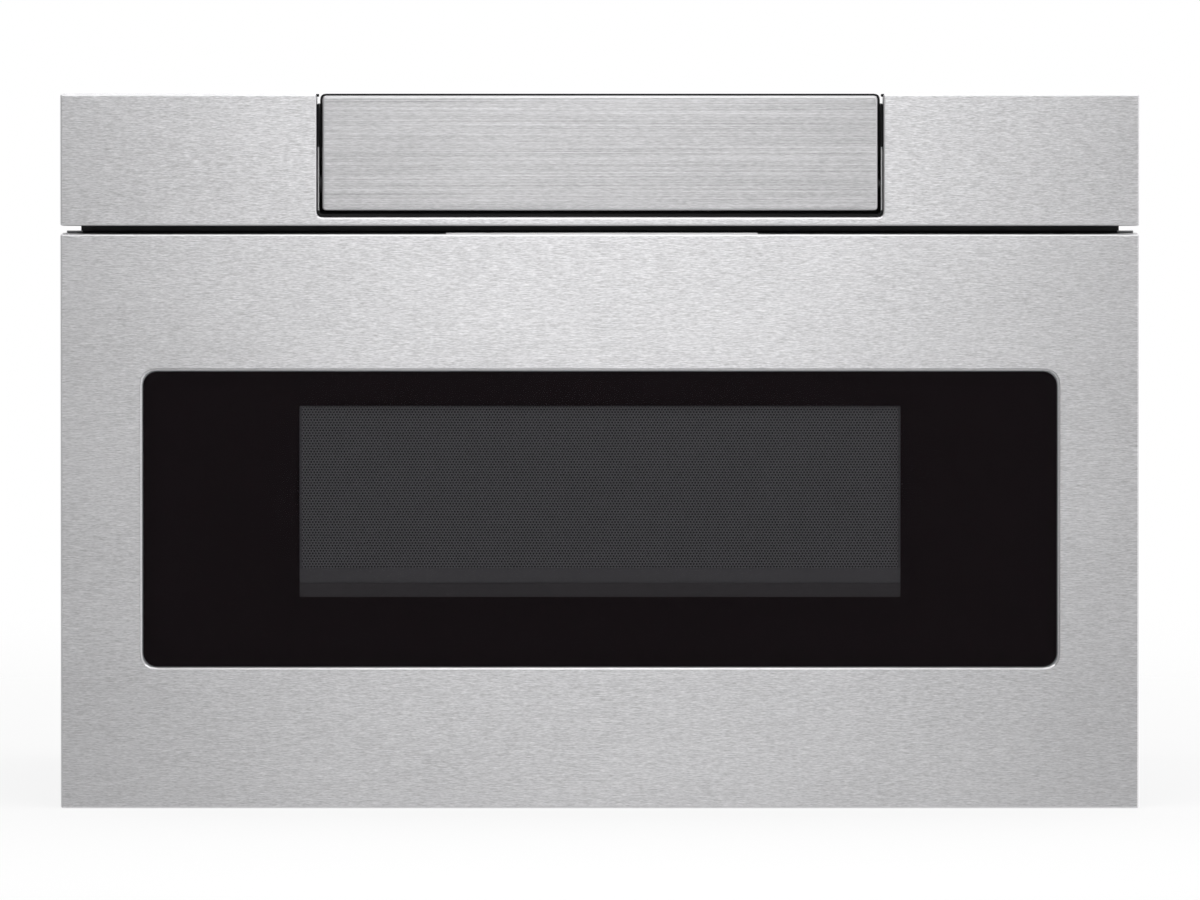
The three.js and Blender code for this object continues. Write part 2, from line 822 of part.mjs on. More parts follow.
function topBand() {
  const y = [frontY, flangeFront - seat];
  const shell = facedPrism(bandOutline(0, frontCornerRadius, notchCornerRadius), y, frontEdgeBevel);
  return shell.subtract(prismY(bandOutline(skinSheet, 0, 0), [y[0] + skinSheet, y[1] + 1]));
}

// The outline of the recess, open at the top and rounded at the bottom.
function recessOutline([left, right], [low, high], radius) {
  return outline([
    [left, low, radius],
    [right, low, radius],
    [right, high, 0],
    [left, high, 0],
  ]);
}

function controlRecess() {
  const y = [frontY + recessFrontSetback, recessBack];
  const z = [notchBottom + seat, recessTop];
  const inside = recessOutline(
    grow(recessX, -recessWall),
    [z[0] + recessFloor, z[1] + 1],
    notchCornerRadius - recessWall,
  );
  const pinHole = rodX(flapPinRadius + seat, [0, recessX[1] + 1], [flapPivotY, flapPivotZ]);
  return prismY(recessOutline(recessX, z, notchCornerRadius), y)
    .subtract(prismY(inside, [y[0] - 1, y[1] - recessWall]))
    .subtract(pinHole);
}

// A touch latch, whose magnetic nose holds the back of the closed flap.
function flapLatch() {
  const back = recessBack - recessWall - seat;
  const nose = [flapFrameBack + 2 * seat, back - latchDepth / 2];
  return block(about(latchWidth / 2), [back - latchDepth, back], latchZ).add(
    rodY(latchNoseRadius, nose, [0, middle(latchZ)]),
  );
}

function flapDamper() {
  const wall = recessX[0] + recessWall + seat;
  const centre = [flapPivotY, flapPivotZ];
  const body = rodX(damperRadius, [wall, wall + damperLength], centre);
  return body.add(rodX(flapPinRadius, [wall, wall + damperLength + damperPinReach], centre));
}

function flapPanel() {
  const y = [frontY, frontY + flapSkinDepth];
  const centre = [flapPivotY, flapPivotZ];
  const inside = roundedBox(
    grow(flapX, -skinSheet),
    grow(flapZ, -skinSheet),
    flapCornerRadius - skinSheet,
  );
  return facedPrism(roundedBox(flapX, flapZ, flapCornerRadius), y, frontEdgeBevel)
    .subtract(prismY(inside, [frontY + skinSheet, y[1] + 1]))
    .subtract(rodX(damperRadius + slideGap, [flapX[0] - 1, 0], centre))
    .subtract(rodX(flapPinRadius + seat, [0, flapX[1] + 1], centre));
}

function flapFrame() {
  const x = grow(flapX, -skinSheet - seat);
  const y = [frontY + skinSheet + seat, flapFrameBack];
  const z = grow(flapZ, -skinSheet - seat);
  const bossDepth = damperLength + flapBossReach;
  const pocket = block(
    grow(x, -bossDepth),
    [y[0] - 1, y[1] - flapFrameWall],
    grow(z, -flapFrameWall),
  );
  const rimFront = frontY + flapSkinDepth + seat;
  const rim = prismY(
    roundedBox(
      grow(recessX, -recessWall - flapRimGap),
      [frontTop - flapRimHeight, frontTop],
      flapRimRadius,
    ),
    [rimFront, rimFront + flapRimSheet],
  );
  const centre = [flapPivotY, flapPivotZ];
  const damperEnd = recessX[0] + recessWall + damperLength + 2 * slideGap;
  return prismY(roundedBox(x, z, flapCornerRadius - skinSheet - seat), y)
    .add(rim)
    .subtract(pocket)
    .subtract(rodX(damperRadius + slideGap, [x[0] - 1, damperEnd], centre))
    .subtract(rodX(flapPinRadius + seat, [x[0] - 1, x[0] + bossDepth + 1], centre))
    .subtract(rodX(flapPinRadius + seat, [x[1] - bossDepth - 1, x[1] + 1], centre));
}

function flapHingePin() {
  const x = [flapX[1] - damperLength, recessX[1]];
  return rodX(flapPinRadius, x, [flapPivotY, flapPivotZ]);
}

function keypadGlass() {
  const y = [flapFrameBack + seat, flapFrameBack + seat + keypadThickness];
  return block(about(keypadWidth / 2), y, keypadZ);
}

piece("top_band", "stainless", topBand());
piece("control_recess", "blackPlastic", controlRecess());
piece("flap_latch", "blackPlastic", flapLatch());
piece("flap_damper", "blackPlastic", flapDamper());
piece("flap_panel", "stainless", flapPanel());
piece("flap_frame", "blackPlastic", flapFrame());
piece("flap_hinge_pin", "zincSteel", flapHingePin());
piece("keypad_glass", "blackGlass", keypadGlass());

// ---------------------------------------------------------------- chassis

function mountingFlange() {
  const y = [flangeFront, 0];
  const through = grow(y, 1);
  const hookHalf = hookHeight / 2 + hookSlotGap;
  const hookSlotX = about(hookThickness / 2 + hookSlotGap, hookFromCentre);
  const hookSlotZ = [hookMiddleZ - hookBarb - hookHalf, hookMiddleZ + hookHalf];
  const slots = SIDES.flatMap(([, side]) => [
    block(onSide(side, armFace - armSheet - 1, outerWeb + slideGap), through, grow(slideZ, 1)),
    block(onSide(side, ...hookSlotX), through, hookSlotZ),
    ...flangeScrewHeights.map((z) =>
      rodY(flangeScrewRadius, through, [side * (flangeWidth / 2 - flangeScrewEdge), z], 12),
    ),
  ]);
  const rackSlot = block(
    [rackX[0] - rackSlotRoom, rackX[1] + rackSlotGap],
    through,
    grow([rackPitchZ - gearModule, rackTop], rackSlotGap),
  );
  return block(about(flangeWidth / 2), y, [flangeBottom, flangeTop])
    .subtract(block(openingX, through, openingZ))
    .subtract(join(rackSlot, ...slots));
}

function basePan() {
  const side = about(baseSide);
  const above = baseSideHeight + 1;
  return block(side, [flangeFront, baseRear], [0, baseSideHeight])
    .subtract(block(grow(side, -baseSheet), [flangeFront - 1, baseRear - baseSheet], [baseSheet, above]))
    .subtract(block(grow(side, 1), [flangeFront - 1, seat], [baseSheet, above]))
    .subtract(block(grow(side, -baseSheet), [seat, baseRear + 1], [baseRearHeight, above]));
}

// A row of upright slots, cut along one axis by the given maker.
function slotRow(count, cut) {
  const slots = [];
  for (let i = 0; i < count; i++) slots.push(cut((i - (count - 1) / 2) * ventSlotPitch));
  return join(...slots);
}

function caseSidePanel(side) {
  const x = onSide(side, caseSide - caseSheet, caseSide);
  const panel = block(x, [seat, rearPanelFront - seat], [caseFloorGap, caseHeight - caseSheet - seat]);
  const ventY = rearBayFront + (rearPanelFront - rearBayFront) / 2;
  const vents = slotRow(sideVentCount, (offset) =>
    block(
      grow(x, 1),
      about(ventSlotWidth / 2, ventY + offset),
      about(ventSlotLength / 2, caseHeight / 2),
    ),
  );
  return panel.subtract(vents);
}

function caseTopPanel() {
  return block(about(caseSide), [seat, caseRear], [caseHeight - caseSheet, caseHeight]);
}

function caseRearPanel() {
  const y = [rearPanelFront, caseRear];
  const panel = block(about(caseSide), y, [caseFloorGap, caseHeight - caseSheet - seat]);
  const grille = slotRow(grilleSlots, (offset) => {
    const half = Math.sqrt(fanBladeRadius ** 2 - offset ** 2);
    return block(about(ventSlotWidth / 2, fanFromCentre + offset), grow(y, 1), about(half, fanMiddleZ));
  });
  const glandHole = rodY(glandRadius + seat, grow(y, 1), [glandFromCentre, glandZ]);
  return panel.subtract(grille).subtract(glandHole);
}

function cordGland() {
  const centre = [glandFromCentre, glandZ];
  const flangeY = [caseRear + seat, caseRear + seat + glandFlange];
  const body = rodY(glandRadius, [flangeY[1] - glandLength, flangeY[1]], centre);
  const bore = rodY(glandBoreRadius, [flangeY[1] - glandLength - 1, flangeY[1] + 1], centre);
  return body.add(rodY(glandFlangeRadius, flangeY, centre)).subtract(bore);
}

piece("mounting_flange", "blackSteel", mountingFlange());
piece("base_pan", "zincSteel", basePan());
for (const [place, side] of SIDES) piece(`case_${place}_panel`, "zincSteel", caseSidePanel(side));
piece("case_top_panel", "zincSteel", caseTopPanel());
piece("case_rear_panel", "zincSteel", caseRearPanel());
piece("cord_gland", "blackPlastic", cordGland());

// ---------------------------------------------------------------- cavity

const cavityY = [seat, cavityRear];
const feedAperture = [about(feedApertureWidth / 2), about(feedApertureWidth / 2, feedMiddleY)];

function cavityFloor() {
  return block(grow(openingX, cavitySheet), cavityY, [openingZ[0] - cavitySheet, openingZ[0]]);
}

function cavityWall(side) {
  const x = onSide(side, openingX[1], openingX[1] + cavitySheet);
  return block(x, cavityY, [openingZ[0] + seat, openingZ[1]]);
}

function cavityCeiling() {
  const z = [ceilingTop - cavitySheet, ceilingTop];
  const panel = block(grow(openingX, cavitySheet), cavityY, z);
  return panel.subtract(block(...feedAperture, grow(z, 1)));
}

function cavityRearWall() {
  const y = [cavityRear + seat, cavityRear + seat + cavitySheet];
  return block(grow(openingX, cavitySheet), y, [openingZ[0] - cavitySheet, ceilingTop]);
}

function stirrerCover() {
  const z = [openingZ[1] - stirrerCoverThickness, openingZ[1]];
  return block(about(stirrerCoverSize / 2), about(stirrerCoverSize / 2, feedMiddleY), z);
}

piece("cavity_floor", "enamel", cavityFloor());
for (const [place, side] of SIDES) piece(`cavity_${place}_wall`, "enamel", cavityWall(side));
piece("cavity_ceiling", "enamel", cavityCeiling());
piece("cavity_rear_wall", "enamel", cavityRearWall());
piece("stirrer_cover", "mica", stirrerCover());

// ---------------------------------------------------------------- microwave feed

function waveguide() {
  const z = [feedBottom, feedTop];
  const feedX = about(feedWidth / 2);
  const feedY = [feedFront, feedFront + feedLength];
  const guideX = about(guideWidth / 2, guideFromCentre);
  const guideY = [feedY[1] - 2 * feedSheet, guideRear];
  const inner = (range) => grow(range, -feedSheet);
  const inside = join(
    block(inner(feedX), inner(feedY), inner(z)),
    block(inner(guideX), [feedY[1] - 3 * feedSheet, guideRear - feedSheet], inner(z)),
  );
  const mouth = block(feedAperture[0], feedAperture[1], [z[0] - 1, z[0] + 2 * feedSheet]);
  const antennaHole = rodZ(antennaRadius + 2, [z[0] - 1, z[0] + 2 * feedSheet], [
    guideFromCentre,
    magnetronMiddleY,
  ]);
  const shaftHole = rodZ(stirrerShaftRadius + 2, [z[1] - 2 * feedSheet, z[1] + 1], [0, feedMiddleY]);
  return block(feedX, feedY, z)
    .add(block(guideX, guideY, z))
    .subtract(inside)
    .subtract(join(mouth, antennaHole, shaftHole));
}

function stirrerFan() {
  const vaneZ = ceilingTop + stirrerHeight;
  const motorBottom = feedTop + seat;
  const centre = [0, feedMiddleY];
  const shaft = rodZ(stirrerShaftRadius, [vaneZ - 4, motorBottom + stirrerSocketDepth - seat], centre);
  const hub = rodZ(stirrerHubRadius, [vaneZ - 4, vaneZ + 4], centre);
  const vanes = [];
  for (let i = 0; i < stirrerVanes; i++) {
    const vane = new THREE.BoxGeometry(stirrerRadius - 4, stirrerVaneWidth, stirrerVaneSheet);
    vane.rotateX(stirrerVaneTilt);
    vane.translate((stirrerRadius + 4) / 2, 0, 0);
    vane.rotateZ((i * 2 * Math.PI) / stirrerVanes);
    vane.translate(0, feedMiddleY, vaneZ);
    vanes.push(toSolid(vane));
  }
  return join(shaft, hub, ...vanes);
}

function stirrerMotor() {
  const z = [feedTop + seat, feedTop + seat + stirrerMotorHeight];
  const centre = [0, feedMiddleY];
  const body = rodZ(stirrerMotorRadius, z, centre, 32);
  const ears = block(
    about(stirrerMotorRadius + stirrerEarReach),
    about(stirrerEarWidth / 2, feedMiddleY),
    [z[0], z[0] + stirrerEarSheet],
  );
  const socket = rodZ(stirrerShaftRadius + seat, [z[0] - 1, z[0] + stirrerSocketDepth], centre);
  return body.add(ears).subtract(socket);
}

function magnetron() {
  const centre = [guideFromCentre, magnetronMiddleY];
  const x = about(magnetronWidth / 2, centre[0]);
  const y = about(magnetronDepth / 2, centre[1]);
  const top = feedBottom - seat;
  const z = [top - magnetronHeight, top];
  const yoke = tube(x, y, z, magnetronYokeSheet)
    .add(block(x, y, [z[0], z[0] + magnetronYokeSheet]))
    .add(block(x, y, [z[1] - magnetronYokeSheet, z[1]]));
  const core = rodZ(magnetronCoreRadius, z, centre);
  const antenna = rodZ(antennaRadius, [top - 1, top + antennaHeight], centre);
  const finPitch = (magnetronHeight - 2 * magnetronYokeSheet) / (magnetronFins + 1);
  const fins = [];
  for (let i = 1; i <= magnetronFins; i++) {
    const finZ = z[0] + magnetronYokeSheet + i * finPitch;
    fins.push(block(x, grow(y, -6), about(magnetronFinSheet / 2, finZ)));
  }
  const filterBox = block(
    about(filterBoxWidth / 2, centre[0]),
    grow(y, -10),
    [z[0] - filterBoxHeight, z[0] + 1],
  );
  return join(yoke, core, antenna, filterBox, ...fins);
}

piece("waveguide", "zincSteel", waveguide());
piece("stirrer_fan", "zincSteel", stirrerFan());
piece("stirrer_motor", "zincSteel", stirrerMotor());
piece("magnetron", "zincSteel", magnetron());

// ---------------------------------------------------------------- high-voltage supply

const standZ = baseSheet + seat;
const rearBayY = rearBayFront + rearBayGap;

function transformer() {
  const x = about(transformerWidth / 2, transformerFromCentre);
  const y = [rearBayY + transformerCoilProud, rearBayY + transformerCoilProud + transformerDepth];
  const z = [standZ, standZ + transformerHeight];
  const coilX = grow(x, -transformerWidth / 5);
  const coil = block(coilX, grow(y, transformerCoilProud), grow(z, -transformerHeight / 6));
  const feet = block(grow(x, 10), grow(y, -transformerDepth / 4), [z[0], z[0] + 2]);
  return join(block(x, y, z), coil, feet);
}

const capacitorZ = [standZ, standZ + capacitorHeight];
const capacitorY = [rearBayY + transformerCoilProud, rearBayY + transformerCoilProud + capacitorDepth];
const terminalTop = capacitorZ[1] + terminalHeight;

// The high-voltage diode is soldered across the capacitor's terminals.
function capacitor() {
  const x = about(capacitorWidth / 2, capacitorFromCentre);
  const round = capacitorDepth / 2;
  const waist = grow(x, -round);
  const can = join(
    block(waist, capacitorY, capacitorZ),
    ...waist.map((end) => rodZ(round, capacitorZ, [end, middle(capacitorY)])),
  );
  const terminals = SIDES.map(([, side]) =>
    block(
      about(terminalWidth / 2, capacitorFromCentre + (side * diodeLength) / 2),
      about(terminalWidth / 2, middle(capacitorY)),
      [capacitorZ[1] - 1, terminalTop],
    ),
  );
  const diodeX = about(diodeLength / 2 + terminalWidth, capacitorFromCentre);
  const diode = rodX(diodeRadius, diodeX, [middle(capacitorY), terminalTop], 16);
  return join(can, diode, ...terminals);
}

piece("high_voltage_transformer", "copper", transformer());
piece("high_voltage_capacitor", "zincSteel", capacitor());

// ---------------------------------------------------------------- cooling fan

const fanCentre = [fanFromCentre, fanMiddleZ];

// A bar along x, turned about the fan's axis.
function turnedBar(length, width, y, turn) {
  const bar = new THREE.BoxGeometry(length, span(y), width);
  bar.rotateY(turn).translate(fanFromCentre, middle(y), fanMiddleZ);
  return toSolid(bar);
}

function fanHousing() {
  const frame = block(about(fanSize / 2, fanFromCentre), fanY, about(fanSize / 2, fanMiddleZ)).subtract(
    rodY(fanBoreRadius, grow(fanY, 1), fanCentre, 40),
  );
  const spiderY = [fanY[1] - fanSpiderSheet, fanY[1]];
  const struts = [];
  for (let i = 0; i < fanStruts / 2; i++) {
    struts.push(turnedBar(2 * fanBoreRadius + 2, fanStrutWidth, spiderY, Math.PI / 4 + (i * Math.PI) / 2));
  }
  return join(frame, rodY(fanHubRadius, spiderY, fanCentre), ...struts);
}

const fanMotorY = [fanY[1] - fanSpiderSheet - seat - fanMotorLength, fanY[1] - fanSpiderSheet - seat];

function fanMotor() {
  const shaftY = [fanMotorY[0] - fanShaftLength, fanMotorY[0] + 1];
  return rodY(fanHubRadius, fanMotorY, fanCentre).add(rodY(fanShaftRadius, shaftY, fanCentre));
}

function fanRotor() {
  const y = [fanMotorY[0] - seat - fanHubLength, fanMotorY[0] - seat];
  const bore = rodY(fanShaftRadius + seat, [fanMotorY[0] - fanShaftLength - seat, y[1] + 1], fanCentre);
  const blades = [];
  for (let i = 0; i < fanBlades; i++) {
    const blade = new THREE.BoxGeometry(fanBladeRadius - fanHubRadius + 4, fanBladeSheet, fanBladeWidth);
    blade.rotateX(fanBladePitch);
    blade.translate((fanBladeRadius + fanHubRadius - 4) / 2, 0, 0);
    blade.rotateY((i * 2 * Math.PI) / fanBlades);
    blade.translate(fanFromCentre, middle(y), fanMiddleZ);
    blades.push(toSolid(blade));
  }
  return join(rodY(fanHubRadius, y, fanCentre), ...blades).subtract(bore);
}

piece("cooling_fan_housing", "blackPlastic", fanHousing());
piece("cooling_fan_motor", "zincSteel", fanMotor());
piece("cooling_fan_blades", "whitePlastic", fanRotor());

// ---------------------------------------------------------------- electrics

// A circuit board on four standoffs, with its components as [x, y, width, depth, height] on it.
function populatedBoard(x, y, bottom, components) {
  const boardZ = [bottom + boardStandoff, bottom + boardStandoff + boardSheet];
  const posts = x.flatMap((endX, i) =>
    y.map((endY, j) => {
      const postX = endX + (i ? -boardPostInset : boardPostInset);
      const postY = endY + (j ? -boardPostInset : boardPostInset);
      const half = boardPostSize / 2;
      return block(about(half, postX), about(half, postY), [bottom, middle(boardZ)]);
    }),
  );
  const parts = components.map(([acrossX, alongY, width, depth, height]) => {
    const partX = about(width / 2, middle(x) + acrossX);
    const partY = about(depth / 2, middle(y) + alongY);
    return block(partX, partY, [middle(boardZ), boardZ[1] + height]);
  });
  return join(block(x, y, boardZ), ...posts, ...parts);
}

function controlBoard() {
  const x = about(controlBoardWidth / 2, controlBoardFromCentre);
  const y = [controlBoardFront, controlBoardFront + controlBoardDepth];
  const components = [
    [-36, 20, 34, 28, 30],
    [8, 28, 20, 16, 18],
    [34, 28, 20, 16, 18],
    [-30, -26, 14, 14, 20],
    [10, -18, 30, 30, 3],
    [42, -22, 10, 30, 12],
  ];
  return populatedBoard(x, y, ceilingTop + seat, components);
}

function noiseFilter() {
  const x = about(filterBoardWidth / 2, filterBoardFromCentre);
  const y = [rearBayY, rearBayY + filterBoardDepth];
  const components = [
    [0, 18, 34, 30, 26],
    [-14, -20, 16, 24, 20],
    [14, -20, 16, 24, 20],
  ];
  return populatedBoard(x, y, standZ, components);
}

function ovenLamp() {
  const wall = openingX[1] + cavitySheet + seat;
  const y = about(lampWidth / 2, lampMiddleY);
  const z = about(lampHeight / 2, lampMiddleZ);
  const base = block([wall, wall + lampFlangeSheet], grow(y, lampFlangeReach), z);
  return base.add(block([wall, wall + lampReach], y, grow(z, -lampHoodInset)));
}

function thermalCutout() {
  const wall = rearBayFront + 2 * seat;
  const centre = [cutoutFromCentre, cutoutZ];
  const flange = block(
    about(cutoutRadius + cutoutEarReach, cutoutFromCentre),
    [wall, wall + cutoutEarSheet],
    about(cutoutEarHeight / 2, cutoutZ),
  );
  return rodY(cutoutRadius, [wall, wall + cutoutReach], centre).add(flange);
}

function interlockSwitches(side) {
  const outer = hookFromCentre - hookThickness / 2 - switchGap;
  const x = onSide(side, outer - switchWidth, outer);
  const body = block(x, [seat, seat + switchDepth], about(switchHeight / 2, hookMiddleZ));
  const grooveY = [switchGrooveStart, seat + switchDepth + 1];
  const grooves = [-1, 1].map((end) =>
    block(
      grow(x, 1),
      grooveY,
      about(switchGrooveWidth / 2, hookMiddleZ + (end * switchHeight) / 6),
    ),
  );
  return body.subtract(join(...grooves));
}

piece("control_board", "circuitBoard", controlBoard());
piece("noise_filter_board", "circuitBoard", noiseFilter());
piece("oven_lamp", "whitePlastic", ovenLamp());
piece("thermal_cutout", "blackPlastic", thermalCutout());
for (const [place, side] of SIDES) {
  piece(`interlock_switches_${place}`, "blackPlastic", interlockSwitches(side));
}

export default root;
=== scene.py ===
import math

import bmesh
import bpy
from bpy.props import FloatProperty, FloatVectorProperty, PointerProperty, StringProperty
from mathutils import Matrix, Vector


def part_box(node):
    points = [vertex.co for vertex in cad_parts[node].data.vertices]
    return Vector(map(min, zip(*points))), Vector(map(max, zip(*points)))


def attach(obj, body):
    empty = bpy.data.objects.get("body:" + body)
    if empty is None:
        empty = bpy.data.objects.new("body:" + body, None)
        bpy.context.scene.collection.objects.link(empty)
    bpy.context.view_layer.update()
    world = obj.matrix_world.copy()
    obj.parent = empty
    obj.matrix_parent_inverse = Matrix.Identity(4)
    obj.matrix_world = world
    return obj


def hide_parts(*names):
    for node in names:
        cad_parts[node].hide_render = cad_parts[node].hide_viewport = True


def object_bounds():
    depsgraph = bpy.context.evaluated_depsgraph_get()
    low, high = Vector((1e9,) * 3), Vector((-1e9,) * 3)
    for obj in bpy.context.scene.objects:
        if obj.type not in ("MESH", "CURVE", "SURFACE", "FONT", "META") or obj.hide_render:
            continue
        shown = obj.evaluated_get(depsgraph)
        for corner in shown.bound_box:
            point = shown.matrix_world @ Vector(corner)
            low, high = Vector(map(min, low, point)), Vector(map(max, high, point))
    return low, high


bl_info = {
    "name": "Microwave drawer",
    "version": (1, 0, 0),
    "blender": (4, 5, 0),
    "location": "3D View > Sidebar > Microwave drawer",
    "description": "Finishes, door glass, keypad, sheet metal details and studio of a microwave drawer",
    "category": "Object",
}

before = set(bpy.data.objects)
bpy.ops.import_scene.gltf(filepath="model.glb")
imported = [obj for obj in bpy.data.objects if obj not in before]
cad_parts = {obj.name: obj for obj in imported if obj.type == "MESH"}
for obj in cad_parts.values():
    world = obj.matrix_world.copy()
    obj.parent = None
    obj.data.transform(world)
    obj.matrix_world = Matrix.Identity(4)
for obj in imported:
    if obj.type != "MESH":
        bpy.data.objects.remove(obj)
cad_low, cad_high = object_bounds()

SIDES = (("left", -1), ("right", 1))
GLASS_LOW, GLASS_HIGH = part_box("door_glass")
SCREEN_LOW, SCREEN_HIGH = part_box("window_screen")
KEYPAD_LOW, KEYPAD_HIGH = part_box("keypad_glass")
FRONT_LOW, FRONT_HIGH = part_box("drawer_front_panel")
FLANGE_LOW, FLANGE_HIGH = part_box("mounting_flange")
BAND_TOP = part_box("top_band")[1].z
RECESS_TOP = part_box("control_recess")[1].z
CASE_SIDE, _, CASE_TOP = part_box("case_top_panel")[1]
CASE_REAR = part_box("case_rear_panel")[1].y


# ------------------------ settings

def length(name, description, default):
    return FloatProperty(name=name, description=description, default=default, unit="LENGTH", precision=5)


def colour(name, description, default):
    return FloatVectorProperty(
        name=name, description=description, default=default, subtype="COLOR", min=0, max=1
    )


class DoorSizes(bpy.types.PropertyGroup):
    """Sizes of the door's window and glass."""

    window_width: length("Window width", "Clear part of the glass inside its printed border", 0.3378)
    window_low: length("Window bottom", "Height of the clear part's lower edge", 0.1088)
    window_high: length("Window top", "Height of the clear part's upper edge", 0.2163)
    holes_low: length("Lowest holes", "Height at which the screen's perforations start", 0.1251)
    gasket_top: length("Gasket top", "Height of the gasket strip along the window's lower edge", 0.1167)
    hole_pitch: length("Hole pitch", "Distance between neighbouring holes of the screen", 0.0017)
    hole_radius: length("Hole radius", "Radius of a hole of the screen", 0.00062)
    glass_corner: length("Glass corner", "Corner radius of the door glass", 0.008)
    glass_chamfer: length("Glass chamfer", "Ground edge of the door glass", 0.00025)


class KeypadSizes(bpy.types.PropertyGroup):
    """Sizes of the keys printed on the glass inside the flap."""

    key_width: length("Key width", "Width of a key's outline", 0.0145)
    key_height: length("Key height", "Height of a key's outline", 0.0155)
    key_pitch: length("Key pitch", "Distance from key to key along a row", 0.0185)
    row_pitch: length("Row pitch", "Distance between the two rows", 0.0205)
    line: length("Line", "Width of the line round a key", 0.00035)
    digit_height: length("Digit height", "Size of a digit on a key", 0.0075)
    display_width: length("Display width", "Width of the clock window", 0.058)
    display_height: length("Display height", "Height of the clock window", 0.024)
    clock: StringProperty(name="Clock", description="Digits in the clock window", default="12:00")


class CaseSizes(bpy.types.PropertyGroup):
    """Sizes of the case's folded hems, pressed beads and screws."""

    hem: length("Hem", "Width of the folded hems along the case's edges", 0.016)
    sheet: length("Sheet", "Thickness of the folded hems", 0.0008)
    bead_width: length("Bead width", "Width of a pressed stiffening bead", 0.014)
    bead_height: length("Bead height", "Height of a pressed stiffening bead", 0.0018)
    screw_flange: length("Screw flange", "Radius of a sheet metal screw's flange", 0.0045)
    screw_hex: length("Screw hexagon", "Half the width across the corners of a screw's hexagon", 0.0031)
    screw_height: length("Screw height", "Height of a screw head over the sheet", 0.0021)


class Colours(bpy.types.PropertyGroup):
    """Colours of the drawer's finishes."""

    stainless: colour("Stainless", "Brushed steel of the front", (0.640, 0.636, 0.648))
    zinc: colour("Zinc", "Galvanised sheet of the case", (0.445, 0.460, 0.475))
    black_paint: colour("Black paint", "Powder coat of the flange and the flap's pin", (0.012, 0.012, 0.013))
    screen_paint: colour("Screen paint", "Dark paint of the window's screen", (0.115, 0.112, 0.122))
    glass_print: colour("Glass print", "Black border printed behind the door glass", (0.0115, 0.0064, 0.0078))
    enamel: colour("Enamel", "Grey enamel of the cavity and the drawer's walls", (0.270, 0.277, 0.290))
    ceramic: colour("Ceramic", "Glazed tray in the drawer", (0.770, 0.760, 0.720))
    black_plastic: colour("Black plastic", "Moulded parts of the flap and its recess", (0.005, 0.005, 0.006))
    white_plastic: colour("White plastic", "Natural mouldings", (0.690, 0.690, 0.650))
    aluminium: colour("Aluminium", "Motors and the magnetron's fins", (0.560, 0.570, 0.580))
    legend: colour("Legend", "Ink of the keypad's digits and outlines", (0.620, 0.640, 0.660))


class Studio(bpy.types.PropertyGroup):
    """Camera and lamps."""

    camera_distance: length("Camera distance", "From the lens to the drawer's front", 10.0)
    camera_angle: FloatProperty(
        name="Camera angle", description="How far the camera looks down", default=math.radians(2),
        subtype="ANGLE",
    )
    view_width: length("View width", "Width of the picture at the drawer's front", 0.6742)
    view_side: length("View side", "How far the picture's middle is from the drawer's middle", 0.0)
    view_height: length("View centre", "Height of the picture's middle", 0.1916)
    front_watts: FloatProperty(
        name="Front softbox", description="Power of the front softbox", default=2.95, unit="POWER"
    )
    fill_watts: FloatProperty(
        name="Other softboxes", description="Power that the other softboxes take shares of", default=7,
        unit="POWER",
    )
    front_level: FloatProperty(
        name="Front level", description="How bright the room in front looks in the steel", default=0.288
    )
    sky: FloatProperty(name="Sky", description="Strength of the even light from all round", default=0.6)


GROUPS = (
    ("drawer_door", DoorSizes),
    ("drawer_keypad", KeypadSizes),
    ("drawer_case", CaseSizes),
    ("drawer_colours", Colours),
    ("drawer_studio", Studio),
)


# ------------------------ finishes

TONE_CONTRAST = 2.0
BUMP_STRENGTH, FINE_RELIEF = 0.6, 0.00002
# How softly the painted shade in the back plate's middle gives way to its ends.
SHADE_FADE = 0.0004
WHITE = (1.0, 1.0, 1.0, 1.0)

# Brushed steel: its noise, a slow drift of its tone, and how much smoother it is on bright grain and bends.
BRUSH_DETAIL, BRUSH_CONTRAST = 3.0, 3.2
DRIFT, DASH_SHARE, DRIFT_SHARE = (14.0, 14.0, 22.0), 0.85, 0.15
BRUSH_ROUGHNESS, GRAIN_GLOSS, BEND_GLOSS = 0.5, 0.08, 0.16

# A slanted edge's base colour is brighter: a painted highlight. It begins and ends where a surface looks
# forward by these shares.
BEND_HIGHLIGHT = 1.25
BEND_BEGINS, BEND_ENDS = (0.25, 0.45), (0.88, 0.97)


class Wire:
    """A socket in a finish. Arithmetic on it adds Math nodes."""

    def __init__(self, finish, socket):
        self.finish = finish
        self.socket = socket

    def maths(self, operation, first, second):
        return self.finish.node("ShaderNodeMath", {"operation": operation}, {0: first, 1: second})

    def __add__(self, other):
        return self.maths("ADD", self, other)

    def __radd__(self, other):
        return self.maths("ADD", other, self)

    def __sub__(self, other):
        return self.maths("SUBTRACT", self, other)

    def __rsub__(self, other):
        return self.maths("SUBTRACT", other, self)

    def __mul__(self, other):
        return self.maths("MULTIPLY", self, other)

    def __rmul__(self, other):
        return self.maths("MULTIPLY", other, self)

    def __gt__(self, other):
        return self.maths("GREATER_THAN", self, other)

    def __abs__(self):
        return self.maths("ABSOLUTE", self, 0.0)


